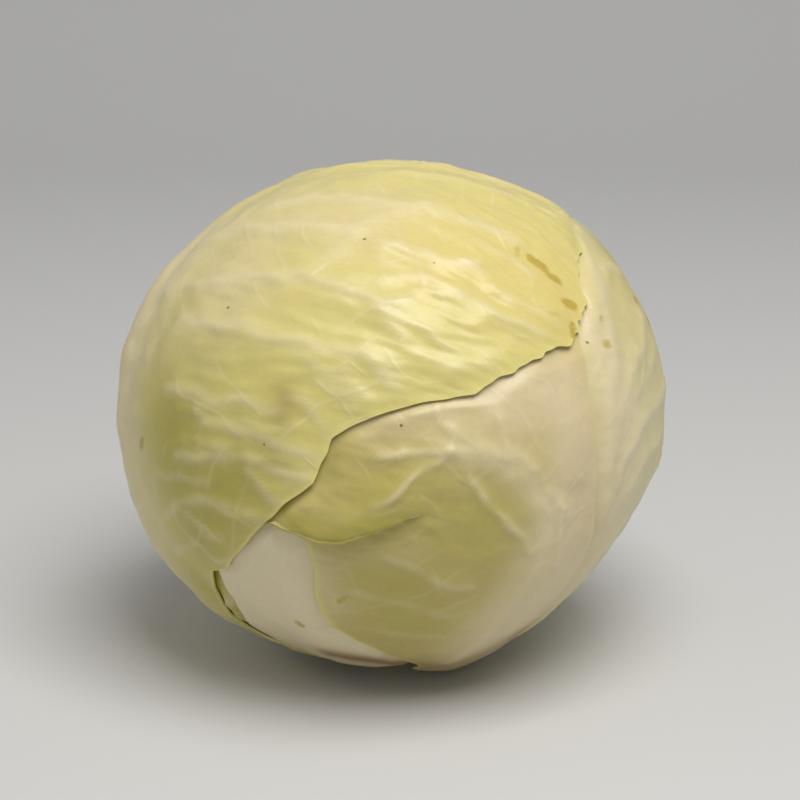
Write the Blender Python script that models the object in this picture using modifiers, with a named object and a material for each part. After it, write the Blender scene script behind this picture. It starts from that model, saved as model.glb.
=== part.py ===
# A head of white cabbage, resting on a small flat spot beside its cut stalk.
#
# The head is built as it grew: a stalk, a tight inner head of packed leaves round it, and six
# wrapper leaves that start at the stalk and lie over each other like cloth. Each leaf is cut as a
# flat pattern (half widths at stations along its midrib), laid on the round of the head, lifted
# over the leaves below it, given its ribs, and thickened.
#
# All lengths below are millimetres until a point becomes a vertex, where MM turns them to metres.
# Directions on the head are (azimuth, elevation) in degrees seen from its centre: azimuth 0 faces
# the front (-Y), 90 is the right (+X), and elevation 90 is straight up.

import bpy
import bmesh
import numpy as np
from mathutils import Vector

MM = 0.001
TINY = 1e-9
FAR = 1e9

# The head: half axes of its outer round, its centre's height, and where the round swells or
# sinks: (direction, height, spread).
HALF_WIDTH = 89.0
HALF_DEPTH = 86.0
HALF_HEIGHT = 82.5
CENTRE_HEIGHT = 80.5
SWELLS = (
    ((78, -33), -4.2, 32),
    ((92, 4), 0.9, 30),
    ((105, 38), 3.0, 26),
    ((75, 52), 1.5, 16),
    ((-80, -20), -1.4, 45),
    ((-65, -52), -0.4, 24),
    ((41, -67), 1.2, 16),
    ((26, -60), 2.3, 19),
)
FLOOR_BLEND = 0.8
PLANE_RADIUS = 85.0

# The stalk: which way it points, its cut face and the core it sends up inside the head.
STALK_DIRECTION = (-14, -70)
STALK_REACH = 78.5
STALK_CUT_RADIUS = 13.5
STALK_BEVEL = 1.2
STALK_COLOUR = (0.62, 0.52, 0.33)
STALK_ROUGHNESS = 0.7
SOCKET_CLEARANCE = 0.4
SOCKET_OVERRUN = 15.0
TURN_STEPS = 24
MERGE_DISTANCE = 0.01
# (radius, distance behind the cut face) down the core.
STALK_CORE = ((15.5, 8.0), (13.0, 22.0), (11.0, 38.0), (8.0, 54.0), (3.0, 62.0))
STALK_CORE_TIP = 64.0

# The sheets: a leaf's thickness, the air left under it, and how softly it rides over an edge.
LEAF_THICKNESS = 1.2
LEAF_GAP = 1.1
LEAF_ROUGHNESS = 0.45
EDGE_RAMP = 12.0
SHOW_RAMP = 12.0
GRID_HALF = 0.5

# The ribs of a leaf.
MIDRIB_HEIGHT = 3.2
MIDRIB_WIDTH = 8.5
MIDRIB_FOOT = 45.0
MIDRIB_TIP_WIDTH = 0.35
MIDRIB_TIP_HEIGHT = 0.15
RIB_GAP = 18.0
RIB_HEIGHT = 1.3
RIB_WIDTH = 3.2
RIB_FAN = 0.022
RIB_START = 8.0
RIB_REACH = 110.0

# The soft puckers between the ribs: two crossed waves that sway, each (length, sway, sway length).
PUCKER_HEIGHT = 0.55
PUCKER_START = 20.0
PUCKER_ACROSS = (9.6, 1.3, 31.0)
PUCKER_ALONG = (7.9, 1.1, 37.0)

# The fold in the front leaf: how far it hangs over, and how far up the leaf it is felt.
LIP_OVERHANG = 3.0
LIP_LENGTH = 16.0


def unit(azimuth, elevation):
    """The direction with this azimuth and elevation in degrees, as a unit vector."""
    a, e = np.radians(azimuth), np.radians(elevation)
    return np.stack([np.sin(a) * np.cos(e), -np.cos(a) * np.cos(e), np.sin(e)], axis=-1)


STALK = unit(*STALK_DIRECTION)


def smooth_step(t):
    """0 below t = 0, 1 above t = 1, and a smooth rise between."""
    t = np.clip(t, 0.0, 1.0)
    return t * t * (3.0 - 2.0 * t)


def swaying_wave(along, across, shape):
    """A wave along one way of the pattern whose crests sway to and fro across it."""
    length, sway, sway_length = shape
    return np.sin(along / length + sway * np.sin(across / sway_length))


class Leaf:
    """A leaf's flat pattern, and where it lies on the head.

    centre: the direction of the pattern's origin, on the midrib.
    left, right: (station along the midrib, half width) pairs, from the stalk end to the tip.
    lean_left, lean_right: (reach, rise) pairs, how far a rib leans to the tip as it runs outwards.
    columns: (from station, to station, how many) stretches of the sheet's grid.
    rows: how many strips the grid has left and right of the midrib.
    ridges: (height, width, points as directions) of single raised lines.
    lip: where the leaf folds over itself: (reach, height) pairs along the station 0.
    """

    def __init__(self, name, centre, left, right, lean_left, lean_right, columns, rows, **more):
        self.name = name
        self.left, self.right = np.array(left, float), np.array(right, float)
        self.lean_left, self.lean_right = np.array(lean_left, float), np.array(lean_right, float)
        self.columns, self.rows = columns, rows
        self.midrib = more.get("midrib", MIDRIB_HEIGHT)
        self.ribs = more.get("ribs", RIB_HEIGHT)
        self.pucker = more.get("pucker", PUCKER_HEIGHT)
        self.ridges = more.get("ridges", ())
        self.lip = np.array(more.get("lip", ((0, 0), (1, 0))), float)
        self.colour = more.get("colour", (0.62, 0.60, 0.30))
        self.out = unit(*centre)
        along = -(STALK - (STALK @ self.out) * self.out)
        self.along = along / np.linalg.norm(along)
        self.across = np.cross(self.along, self.out)
        self.stalk_station = -np.arccos(STALK @ self.out) * PLANE_RADIUS

    def flat(self, directions):
        """(x across, y along) on the flat pattern of directions on the head."""
        x, y = directions @ self.across, directions @ self.along
        length = np.hypot(x, y) + TINY
        arc = np.arctan2(length, directions @ self.out) * PLANE_RADIUS
        return x / length * arc, y / length * arc

    def direction(self, x, y):
        """The directions on the head of points of the flat pattern."""
        length = np.hypot(x, y) + TINY
        angle = length / PLANE_RADIUS
        tangent = (x / length)[:, None] * self.across + (y / length)[:, None] * self.along
        return np.cos(angle)[:, None] * self.out + np.sin(angle)[:, None] * tangent

    def lean(self, x):
        """How far ahead of its station a point lies, at this distance from the midrib."""
        left = np.interp(-x, self.lean_left[:, 0], self.lean_left[:, 1])
        right = np.interp(x, self.lean_right[:, 0], self.lean_right[:, 1])
        return np.where(x < 0, left, right)

    def half_width(self, station, x):
        """The pattern's half width at a station, on the side that x is on."""
        left = np.interp(station, self.left[:, 0], self.left[:, 1])
        right = np.interp(station, self.right[:, 0], self.right[:, 1])
        return np.where(x < 0, left, right)

    def inside(self, directions):
        """How far inside the leaf a direction is, with the leaf drawn on to the stalk's axis."""
        x, y = self.flat(directions)
        station = y - self.lean(x)
        ends = np.minimum(station - self.stalk_station, self.left[-1, 0] - station)
        return np.minimum(self.half_width(station, x) - np.abs(x), ends)

    def ribbing(self, directions):
        """How high the midrib, side ribs, puckers and ridges stand on the leaf's face."""
        x, y = self.flat(directions)
        reach = np.abs(x)
        tail = smooth_step((self.left[-1, 0] - y) / (self.left[-1, 0] - self.left[0, 0]))
        width = MIDRIB_WIDTH * (MIDRIB_TIP_WIDTH + (1 - MIDRIB_TIP_WIDTH) * tail)
        foot = smooth_step((y - self.left[0, 0]) / MIDRIB_FOOT)
        tallness = MIDRIB_TIP_HEIGHT + (1 - MIDRIB_TIP_HEIGHT) * tail
        height = self.midrib * foot * tallness * np.exp(-((x / width) ** 2))
        rib_line = np.where(y > 0, y / (1 + RIB_FAN * reach), y) + np.where(x < 0, RIB_GAP / 2, 0)
        off_rib = (rib_line / RIB_GAP - np.round(rib_line / RIB_GAP)) * RIB_GAP
        fade = np.exp(-reach / RIB_REACH) * smooth_step(reach / RIB_START)
        height += self.ribs * fade * np.exp(-((off_rib / RIB_WIDTH) ** 2))
        wave = swaying_wave(x, y, PUCKER_ACROSS) * swaying_wave(y, x, PUCKER_ALONG)
        height += self.pucker * (1 + wave) * smooth_step(reach / PUCKER_START)
        for ridge_height, ridge_width, points in self.ridges:
            away = distance_to_line(directions, unit(*np.array(points, float).T))
            height += ridge_height * np.exp(-((away / ridge_width) ** 2))
        return height

    def lip_height(self, x):
        """How far the fold stands off the head, at this distance from the midrib."""
        return np.interp(-x, self.lip[:, 0], self.lip[:, 1])

    def lip_lift(self, directions):
        """How far the fold holds up whatever lies over the leaf."""
        x, y = self.flat(directions)
        station = y - self.lean(x)
        above = smooth_step(station / EDGE_RAMP + 1)
        return self.lip_height(x) * above * np.exp(-((np.maximum(station, 0) / LIP_LENGTH) ** 2))


def distance_to_line(directions, line):
    """The distance in millimetres of directions from a line through several others."""
    best = np.full(len(directions), FAR)
    for start, end in zip(line[:-1], line[1:]):
        step = end - start
        share = np.clip((directions - start) @ step / (step @ step), 0, 1)
        nearest = start + share[:, None] * step
        best = np.minimum(best, np.linalg.norm(directions - nearest, axis=1))
    return best * PLANE_RADIUS


# The six wrapper leaves, from the innermost to the outermost.
LOW_LEFT = Leaf(
    "leaf_low_left",
    centre=(-60, -25),
    left=((-60, 12), (-40, 26), (0, 36), (30, 24), (42, 8)),
    right=((-60, 12), (-50, 20), (-40, 28), (-18, 36), (0, 34), (30, 26), (42, 8)),
    lean_left=((0, 0), (100, 10)),
    lean_right=((0, 0), (100, 10)),
    columns=((-60, 42, 13),),
    rows=(4, 4),
    colour=(0.52, 0.54, 0.20),
)
LOW_FRONT = Leaf(
    "leaf_low_front",
    centre=(-25, -20),
    left=((-57, 16), (-47, 29), (-32, 26), (-17, 24), (-5, 26), (15, 30), (40, 22)),
    right=((-57, 16), (-45, 33), (-33, 30), (-20, 28), (0, 28), (15, 28), (40, 20)),
    lean_left=((0, 0), (100, 0)),
    lean_right=((0, 0), (100, 0)),
    columns=((-57, 40, 13),),
    rows=(4, 4),
    midrib=1.5,
    ribs=0.0,
    pucker=0.0,
    colour=(0.74, 0.72, 0.55),
)
RIGHT = Leaf(
    "leaf_right",
    centre=(85, 5),
    left=(
        (-127, 12), (-97, 22), (-81, 34), (-64, 44), (-48, 55), (-30, 65), (-10, 70),
        (20, 70), (40, 62), (60, 48), (80, 28), (95, 8),
    ),
    right=((-127, 12), (-100, 22), (-60, 46), (0, 62), (40, 55), (70, 35), (95, 8)),
    lean_left=((0, 0), (100, 0)),
    lean_right=((0, 0), (100, 0)),
    columns=((-127, 95, 32),),
    rows=(9, 8),
    midrib=0.7,
    ribs=0.5,
    colour=(0.70, 0.66, 0.42),
    ridges=(
        (1.1, 5.0, ((73, 40), (63, 30), (54, 18), (50, 7), (49, -8), (47, -30))),
        (1.2, 4.5, ((50, 0), (53, 9), (62, 17), (74, 20), (84, 24))),
        (1.3, 4.5, ((49, -12), (55, 0), (64, 6), (79, 8), (86, 9))),
        (1.2, 4.5, ((50, -30), (61, -18), (71, -11), (82, -7), (88, -7))),
    ),
)
FRONT = Leaf(
    "leaf_front",
    centre=(34, -5),
    left=(
        (-87, 3), (-78, 6), (-70, 21), (-63, 34.5), (-55.5, 46), (-44, 53), (-34.5, 58),
        (-20, 63), (-10, 68), (-1.2, 73), (1.2, 88), (14, 92), (32, 90), (50, 80), (62, 62),
        (72, 42), (82, 16),
    ),
    right=(
        (-87, 12), (-76, 26), (-65, 33), (-46, 31), (-28, 29), (-13, 25), (5, 18),
        (22, 13), (39, 9), (52, 8), (66, 12), (82, 10),
    ),
    lean_left=(
        (0, 0), (32, -5.5), (44, -9), (50, -13), (56, -17), (61, -20.5), (66, -22.5),
        (73, -24), (80, -27), (86, -31), (92, -36),
    ),
    lean_right=((0, 0), (40, 0)),
    columns=((-87, -1.2, 17), (-1.2, 1.2, 1), (1.2, 82, 15)),
    rows=(14, 4),
    midrib=0.0,
    ribs=0.35,
    ridges=(
        (1.4, 8.0, ((20, -50), (25, -42), (29, -28), (33, -17), (33, -7), (30, 0), (24, 8), (13, 11))),
        (0.9, 4.0, ((-2, 10), (6, 10), (13, 11))),
        (0.9, 4.0, ((13, 11), (7, 7), (2, 3), (-3, 0))),
        (0.9, 4.0, ((13, 11), (18, 2), (26, -8), (30, -14))),
        (0.9, 4.0, ((13, 15), (20, 10), (30, 4), (37, -5), (38, -18))),
        (0.9, 4.0, ((-2, -11), (4, -14), (10, -18), (18, -22))),
    ),
    lip=((39, 0), (43, 1.6), (48, 3.0), (54, 4.4), (60, 5.4), (66, 5.2), (73, 4.0), (80, 2.2), (87, 0.8), (92, 0.2)),
    colour=(0.62, 0.58, 0.30),
)
COVER = Leaf(
    "leaf_cover",
    centre=(-82, 15),
    left=((-126, 12), (-90, 38), (-40, 62), (20, 68), (60, 56), (90, 40), (130, 34), (165, 26), (178, 10)),
    right=(
        (-126, 3), (-106, 3), (-97, 6), (-90, 10), (-83, 16), (-74, 25.5), (-66.5, 34),
        (-64.5, 44), (-52, 61),
        (-41, 75), (-26, 92), (-8, 99), (3, 110), (16, 126), (25, 139), (44, 147), (60, 153),
        (79, 157), (94, 154), (115, 143), (132, 124), (148, 106), (163, 75), (172, 50), (178, 20),
    ),
    lean_left=((0, 0), (200, -20)),
    lean_right=((0, 0), (200, -20)),
    columns=((-126, -84, 7), (-84, -60, 6), (-60, 178, 31)),
    rows=(7, 15),
    colour=(0.68, 0.64, 0.32),
)
BACK = Leaf(
    "leaf_back",
    centre=(168, -15),
    left=((-127, 22), (-111, 34), (-90, 44), (-60, 62), (-20, 76), (20, 74), (60, 56), (90, 32), (108, 8)),
    right=((-127, 22), (-111, 34), (-90, 44), (-60, 64), (-20, 80), (20, 78), (60, 58), (90, 34), (108, 8)),
    lean_left=((0, 0), (100, 15)),
    lean_right=((0, 0), (100, 15)),
    columns=((-127, 108, 28),),
    rows=(8, 8),
    colour=(0.64, 0.62, 0.32),
)
LEAVES = (LOW_LEFT, LOW_FRONT, RIGHT, FRONT, COVER, BACK)

# Leaves of the inner head, whose overlapping edges are raised on it.
INNER_EDGE = 1.0
INNER_RAMP = 5.0
INNER_SUBDIVISIONS = 4
INNER_COLOUR = (0.70, 0.67, 0.45)
INNER_LEAVES = tuple(
    Leaf(
        f"inner_{azimuth}",
        centre=(azimuth, 20),
        left=((-135, 12), (-60, 60), (10, 78), (60, 60), (95, 12)),
        right=((-135, 12), (-60, 60), (10, 78), (60, 60), (95, 12)),
        lean_left=((0, 0), (100, 20)),
        lean_right=((0, 0), (100, 20)),
        columns=(),
        rows=(),
    )
    for azimuth in (40, 175, 290)
)


def stack_height(directions, below):
    """How high the top of everything below a layer lies, with soft ramps over each edge."""
    height = np.zeros(len(directions))
    for leaf in INNER_LEAVES:
        height += INNER_EDGE * smooth_step(leaf.inside(directions) / EDGE_RAMP + 1)
    for leaf in LEAVES[:below]:
        cover = smooth_step(leaf.inside(directions) / EDGE_RAMP + 1)
        height += (LEAF_THICKNESS + LEAF_GAP) * cover
    return height


def lips_below(directions, below):
    """How far the folds under a layer hold it up."""
    height = np.zeros(len(directions))
    for leaf in LEAVES[:below]:
        height += leaf.lip_lift(directions) * smooth_step(leaf.inside(directions) / EDGE_RAMP + 1)
    return height


def floor_radius(directions):
    """How far from the head's centre the floor is."""
    return CENTRE_HEIGHT / np.maximum(-directions[:, 2], TINY)


def outer_radius(directions):
    """The radius of the whole head: an ellipsoid with swells, pressed flat where it rests."""
    round_radius = 1 / np.sqrt(
        (directions[:, 0] / HALF_WIDTH) ** 2
        + (directions[:, 1] / HALF_DEPTH) ** 2
        + (directions[:, 2] / HALF_HEIGHT) ** 2
    )
    for place, height, spread in SWELLS:
        away = np.arccos(np.clip(directions @ unit(*place), -1, 1)) * PLANE_RADIUS
        round_radius += height * np.exp(-((away / spread) ** 2))
    floor = floor_radius(directions)
    blend = np.maximum(FLOOR_BLEND - np.abs(round_radius - floor), 0) / FLOOR_BLEND
    return np.minimum(round_radius, floor) - blend**2 * FLOOR_BLEND / 4


def core_radius(directions):
    """The radius under all the wrapper leaves."""
    return outer_radius(directions) - stack_height(directions, len(LEAVES))


def showing(directions, level):
    """1 where no leaf above this level covers the head, 0 where one does."""
    seen = np.ones(len(directions))
    for leaf in LEAVES[level + 1 :]:
        seen *= 1 - smooth_step(leaf.inside(directions) / SHOW_RAMP + 1)
    return seen


def leaf_points(level, x, station, above_lip):
    """The outer face of a leaf in metres: on the stack below it, with its ribs where they show."""
    leaf = LEAVES[level]
    fold = leaf.lip_height(x) * np.exp(-((np.maximum(station, 0) / LIP_LENGTH) ** 2))
    hang = LIP_OVERHANG * np.minimum(fold / leaf.lip[:, 1].max(initial=TINY), 1)
    station = station - hang * above_lip
    directions = leaf.direction(x, station + leaf.lean(x))
    relief = leaf.ribbing(directions) * showing(directions, level) + fold * above_lip
    room = floor_radius(directions) - outer_radius(directions)
    relief *= room / (relief + room + TINY)
    radius = core_radius(directions) + stack_height(directions, level) + lips_below(directions, level)
    radius += LEAF_THICKNESS + LEAF_GAP + relief
    points = directions * radius[:, None]
    points[:, 2] += CENTRE_HEIGHT
    return points * MM


def material(name, colour, roughness):
    made = bpy.data.materials.new(name)
    made.use_nodes = True
    shader = made.node_tree.nodes["Principled BSDF"]
    shader.inputs["Base Color"].default_value = (*colour, 1)
    shader.inputs["Roughness"].default_value = roughness
    shader.inputs["Metallic"].default_value = 0
    return made


def object_from(bm, mesh, colour, roughness, collection):
    """An object that holds a finished bmesh, in its own material."""
    bm.to_mesh(mesh)
    bm.free()
    mesh.materials.append(material(mesh.name, colour, roughness))
    made = bpy.data.objects.new(mesh.name, mesh)
    collection.objects.link(made)
    mesh.shade_smooth()
    return made


def grid_shares(stretches):
    """The stations of a sheet's columns."""
    parts = [np.linspace(start, end, count, endpoint=False) for start, end, count in stretches]
    return np.concatenate(parts + [[stretches[-1][1]]])


def leaf_outward(face):
    """From the head's centre to the middle of a face."""
    return face.calc_center_median() - Vector((0, 0, CENTRE_HEIGHT * MM))


def make_leaf(level, collection):
    """A grid laid on the leaf's pattern, moved onto the head and thickened inwards."""
    leaf = LEAVES[level]
    stations = grid_shares(leaf.columns)
    shares = np.concatenate(
        [np.linspace(-1, 0, leaf.rows[0], endpoint=False), np.linspace(0, 1, leaf.rows[1] + 1)]
    )
    bm = bmesh.new()
    bmesh.ops.create_grid(bm, x_segments=len(shares) - 1, y_segments=len(stations) - 1, size=GRID_HALF)
    places = (np.array([vertex.co for vertex in bm.verts]) + GRID_HALF) / (2 * GRID_HALF)
    share = shares[np.round(places[:, 0] * (len(shares) - 1)).astype(int)]
    station = stations[np.round(places[:, 1] * (len(stations) - 1)).astype(int)]
    x = share * leaf.half_width(station, share)
    for vertex, point in zip(bm.verts, leaf_points(level, x, station, station > 0)):
        vertex.co = point
    bmesh.ops.triangulate(bm, faces=bm.faces[:])
    bm.normal_update()
    outward = sum(face.normal @ leaf_outward(face) for face in bm.faces)
    if outward < 0:
        bmesh.ops.reverse_faces(bm, faces=bm.faces[:])
    made = object_from(bm, bpy.data.meshes.new(leaf.name), leaf.colour, LEAF_ROUGHNESS, collection)
    solidify = made.modifiers.new("thickness", "SOLIDIFY")
    solidify.thickness = LEAF_THICKNESS * MM
    solidify.offset = -1
    return made


def stalk_core(clearance):
    """(radius, distance from the head's centre) of the stalk's core, from its neck to its tip."""
    sides = [(radius + clearance, STALK_REACH - depth) for radius, depth in STALK_CORE]
    return sides + [(0, STALK_REACH - STALK_CORE_TIP - clearance)]


def turned(profile, name, colour, roughness, collection):
    """A solid turned about the stalk's axis, from its profile run from the cut to the tip."""
    mesh = bpy.data.meshes.new(name)
    bm = bmesh.new()
    corners = [bm.verts.new((radius * MM, 0, place * MM)) for radius, place in profile]
    for first, second in zip(corners[:-1], corners[1:]):
        bm.edges.new((first, second))
    made = object_from(bm, mesh, colour, roughness, collection)
    screw = made.modifiers.new("turn", "SCREW")
    screw.steps = screw.render_steps = TURN_STEPS
    screw.use_merge_vertices = True
    screw.merge_threshold = MERGE_DISTANCE * MM
    return made


def lay_on_stalk_axis(made):
    """Turns an object's +Z to the stalk's direction, from the head's centre."""
    made.location = (0, 0, CENTRE_HEIGHT * MM)
    made.rotation_mode = "QUATERNION"
    made.rotation_quaternion = Vector(STALK).to_track_quat("Z", "Y")


def make_stalk(collection):
    """The cut stalk and the core it sends up inside the head."""
    cut = [
        (0, STALK_REACH),
        (STALK_CUT_RADIUS, STALK_REACH),
        (STALK_CUT_RADIUS + STALK_BEVEL, STALK_REACH - STALK_BEVEL),
    ]
    made = turned(cut + stalk_core(0), "stalk", STALK_COLOUR, STALK_ROUGHNESS, collection)
    lay_on_stalk_axis(made)


def make_inner_head(collection, cutters):
    """The packed inner leaves as one body, with a socket for the stalk's core."""
    bm = bmesh.new()
    bmesh.ops.create_icosphere(bm, subdivisions=INNER_SUBDIVISIONS, radius=1)
    directions = np.array([vertex.co for vertex in bm.verts])
    directions /= np.linalg.norm(directions, axis=1)[:, None]
    radius = core_radius(directions)
    for leaf in INNER_LEAVES:
        radius += INNER_EDGE * smooth_step(leaf.inside(directions) / INNER_RAMP + 1)
    for vertex, point in zip(bm.verts, directions * radius[:, None]):
        vertex.co = point * MM
    bmesh.ops.translate(bm, verts=bm.verts[:], vec=(0, 0, CENTRE_HEIGHT * MM))
    mesh = bpy.data.meshes.new("inner_head")
    made = object_from(bm, mesh, INNER_COLOUR, LEAF_ROUGHNESS, collection)
    mouth = STALK_REACH + SOCKET_CLEARANCE + SOCKET_OVERRUN
    side = STALK_CORE[0][0] + SOCKET_CLEARANCE
    profile = [(0, mouth), (side, mouth)] + stalk_core(SOCKET_CLEARANCE)
    socket = turned(profile, "stalk_socket", INNER_COLOUR, LEAF_ROUGHNESS, cutters)
    lay_on_stalk_axis(socket)
    socket.hide_render = True
    socket.display_type = "WIRE"
    cut = made.modifiers.new("stalk_socket", "BOOLEAN")
    cut.object = socket
    cut.operation = "DIFFERENCE"


def main():
    for old in list(bpy.data.objects):
        bpy.data.objects.remove(old)
    cabbage = bpy.data.collections.new("cabbage")
    cutters = bpy.data.collections.new("cutters")
    for collection in (cabbage, cutters):
        bpy.context.scene.collection.children.link(collection)
    make_stalk(cabbage)
    make_inner_head(cabbage, cutters)
    for level in range(len(LEAVES)):
        make_leaf(level, cabbage)


main()
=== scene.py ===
# %% [markdown]
# # A head of white cabbage
#
# A cabbage is a stalk, a hard ball of packed leaves, and a few looser wrapper leaves laid over
# that ball like cloth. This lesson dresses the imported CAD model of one: every leaf becomes a thin
# sheet with ribs, a wavy edge and a waxy skin.
#
# The file runs from top to bottom in Blender. Each step says what the piece is on the real plant,
# how it could be made, and why it is made the way it is here.

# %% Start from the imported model
import bpy
import bmesh
import numpy as np
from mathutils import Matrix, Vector


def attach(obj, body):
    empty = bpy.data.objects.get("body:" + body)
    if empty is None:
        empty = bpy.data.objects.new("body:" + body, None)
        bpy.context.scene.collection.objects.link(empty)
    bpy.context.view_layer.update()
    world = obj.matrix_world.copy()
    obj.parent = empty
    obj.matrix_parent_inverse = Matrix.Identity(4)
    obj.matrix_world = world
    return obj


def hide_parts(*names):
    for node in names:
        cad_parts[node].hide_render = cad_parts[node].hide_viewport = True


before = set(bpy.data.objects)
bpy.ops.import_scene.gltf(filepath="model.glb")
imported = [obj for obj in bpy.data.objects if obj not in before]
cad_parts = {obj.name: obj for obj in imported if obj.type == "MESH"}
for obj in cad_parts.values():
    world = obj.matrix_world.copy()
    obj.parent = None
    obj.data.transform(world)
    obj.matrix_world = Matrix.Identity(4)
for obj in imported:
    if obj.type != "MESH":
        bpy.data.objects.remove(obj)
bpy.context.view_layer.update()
print("nodes:", sorted(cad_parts))

# %% [markdown]
# ## Directions on a round head
#
# A leaf on a ball is easiest to place by directions seen from the middle of the head: an azimuth
# that starts at the front and turns to the right, and an elevation above the horizon. Lengths are
# in millimetres here, because that is how one thinks of a leaf, and turn into Blender's metres
# when a point becomes a vertex.

# %% Lengths and directions
MM = 0.001
PLANE_RADIUS = 85.0
SEED = 7
FAR = 1e9
TINY = 1e-12


def unit(azimuth, elevation):
    a, e = np.radians(azimuth), np.radians(elevation)
    return np.stack([np.sin(a) * np.cos(e), -np.cos(a) * np.cos(e), np.sin(e)], axis=-1)


def smooth_step(t):
    t = np.clip(t, 0.0, 1.0)
    return t * t * (3.0 - 2.0 * t)


def distance_to_line(directions, points):
    """Millimetres from each direction to a line drawn through (azimuth, elevation) points."""
    line = unit(*np.array(points, float).T)
    best = np.full(len(directions), FAR)
    for start, end in zip(line[:-1], line[1:]):
        step = end - start
        share = np.clip((directions - start) @ step / (step @ step), 0, 1)
        nearest = start + share[:, None] * step
        best = np.minimum(best, np.linalg.norm(directions - nearest, axis=1))
    return best * PLANE_RADIUS


print("the front is", unit(0, 0).round(3), "and the right is", unit(90, 0).round(3))

# %% [markdown]
# ## The round of the head
#
# A head isn't a sphere: it is a little wider than high, swells where leaves bulge and is pressed
# flat where it rests. A sculpted ball could hold that, but a radius for each direction is
# simpler, and every leaf can use the same one.

# %% How far out the head reaches
HALF_AXES = np.array([89.0, 86.0, 82.5])
CENTRE_HEIGHT = 80.5
SWELLS = (
    ((78, -33), -4.2, 32),
    ((92, 4), 0.9, 30),
    ((105, 38), 3.0, 26),
    ((75, 52), 1.5, 16),
    ((-80, -20), -1.4, 45),
    ((-65, -52), -0.4, 24),
    ((41, -67), 1.2, 16),
    ((26, -60), 2.3, 19),
)
FLOOR_BLEND = 0.8
LEAST_FALL = 1e-3


def floor_radius(directions):
    """How far the floor is; a direction that hardly falls is taken to meet it far away."""
    return CENTRE_HEIGHT / np.maximum(-directions[:, 2], LEAST_FALL)


def outer_radius(directions):
    radius = 1 / np.linalg.norm(directions / HALF_AXES, axis=1)
    for place, height, spread in SWELLS:
        away = np.arccos(np.clip(directions @ unit(*place), -1, 1)) * PLANE_RADIUS
        radius += height * np.exp(-((away / spread) ** 2))
    floor = floor_radius(directions)
    blend = np.maximum(FLOOR_BLEND - np.abs(radius - floor), 0) / FLOOR_BLEND
    return np.minimum(radius, floor) - blend**2 * FLOOR_BLEND / 4


reach = outer_radius(unit([0, 90, 0], [0, 0, 90]))
print("reach to the front, right and top:", reach.round(1), "mm")

# %% [markdown]
# ## A leaf as a flat pattern
#
# Like a tailor's pattern, a leaf is drawn flat: how wide it is, left and right, at stations along
# its midrib. The pattern is then laid on the head around the leaf's own middle. One class holds
# that for all the leaves, so that each of them is only a few numbers.

# %% The leaf pattern
STALK_DIRECTION = (-14, -70)
STALK = unit(*STALK_DIRECTION)


class Leaf:
    """left and right are (station, half width) pairs, from the stalk end to the tip.
    lean is how far ahead of its station a point lies, at a distance from the midrib.
    veins are traced ribs: (height, width, points). tints are soft patches of colour:
    (channel, strength, spread, points). lip is the fold's height at a distance left.
    rim is how strongly the left and the right edge are coloured. edge_wave is how far the
    edge swings to and fro."""

    def __init__(self, centre, left, right, lean=((0, 0), (100, 0)), lean_left=None, **more):
        self.left, self.right = np.array(left, float), np.array(right, float)
        self.lean_right = np.array(lean, float)
        self.lean_left = np.array(lean_left or lean, float)
        self.lip = np.array(more.get("lip", ((0, 0), (1, 0))), float)
        self.veins = more.get("veins", ())
        self.tints = more.get("tints", ())
        self.ribs = more.get("ribs", {})
        self.rim = more.get("rim", (1.0, 1.0))
        self.edge_wave = more.get("edge_wave", 0.5)
        self.out = unit(*centre)
        along = -(STALK - (STALK @ self.out) * self.out)
        self.along = along / np.linalg.norm(along)
        self.across = np.cross(self.along, self.out)
        self.stalk_station = -np.arccos(STALK @ self.out) * PLANE_RADIUS

    def flat(self, directions):
        x, y = directions @ self.across, directions @ self.along
        length = np.hypot(x, y) + TINY
        arc = np.arctan2(length, directions @ self.out) * PLANE_RADIUS
        return x / length * arc, y / length * arc

    def direction(self, x, y):
        length = np.hypot(x, y) + TINY
        angle = length / PLANE_RADIUS
        tangent = (x / length)[:, None] * self.across + (y / length)[:, None] * self.along
        return np.cos(angle)[:, None] * self.out + np.sin(angle)[:, None] * tangent

    def lean(self, x):
        left = np.interp(-x, self.lean_left[:, 0], self.lean_left[:, 1])
        right = np.interp(x, self.lean_right[:, 0], self.lean_right[:, 1])
        return np.where(x < 0, left, right)

    def half_width(self, station, x):
        left = np.interp(station, self.left[:, 0], self.left[:, 1])
        right = np.interp(station, self.right[:, 0], self.right[:, 1])
        return np.where(x < 0, left, right)

    def inside(self, directions):
        """Millimetres inside the leaf's edge; the leaf is drawn on to the stalk's axis."""
        x, y = self.flat(directions)
        station = y - self.lean(x)
        ends = np.minimum(station - self.stalk_station, self.left[-1, 0] - station)
        return np.minimum(self.half_width(station, x) - np.abs(x), ends)

    def lip_height(self, x):
        return np.interp(-x, self.lip[:, 0], self.lip[:, 1])


print("the stalk points along", STALK.round(2))
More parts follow.
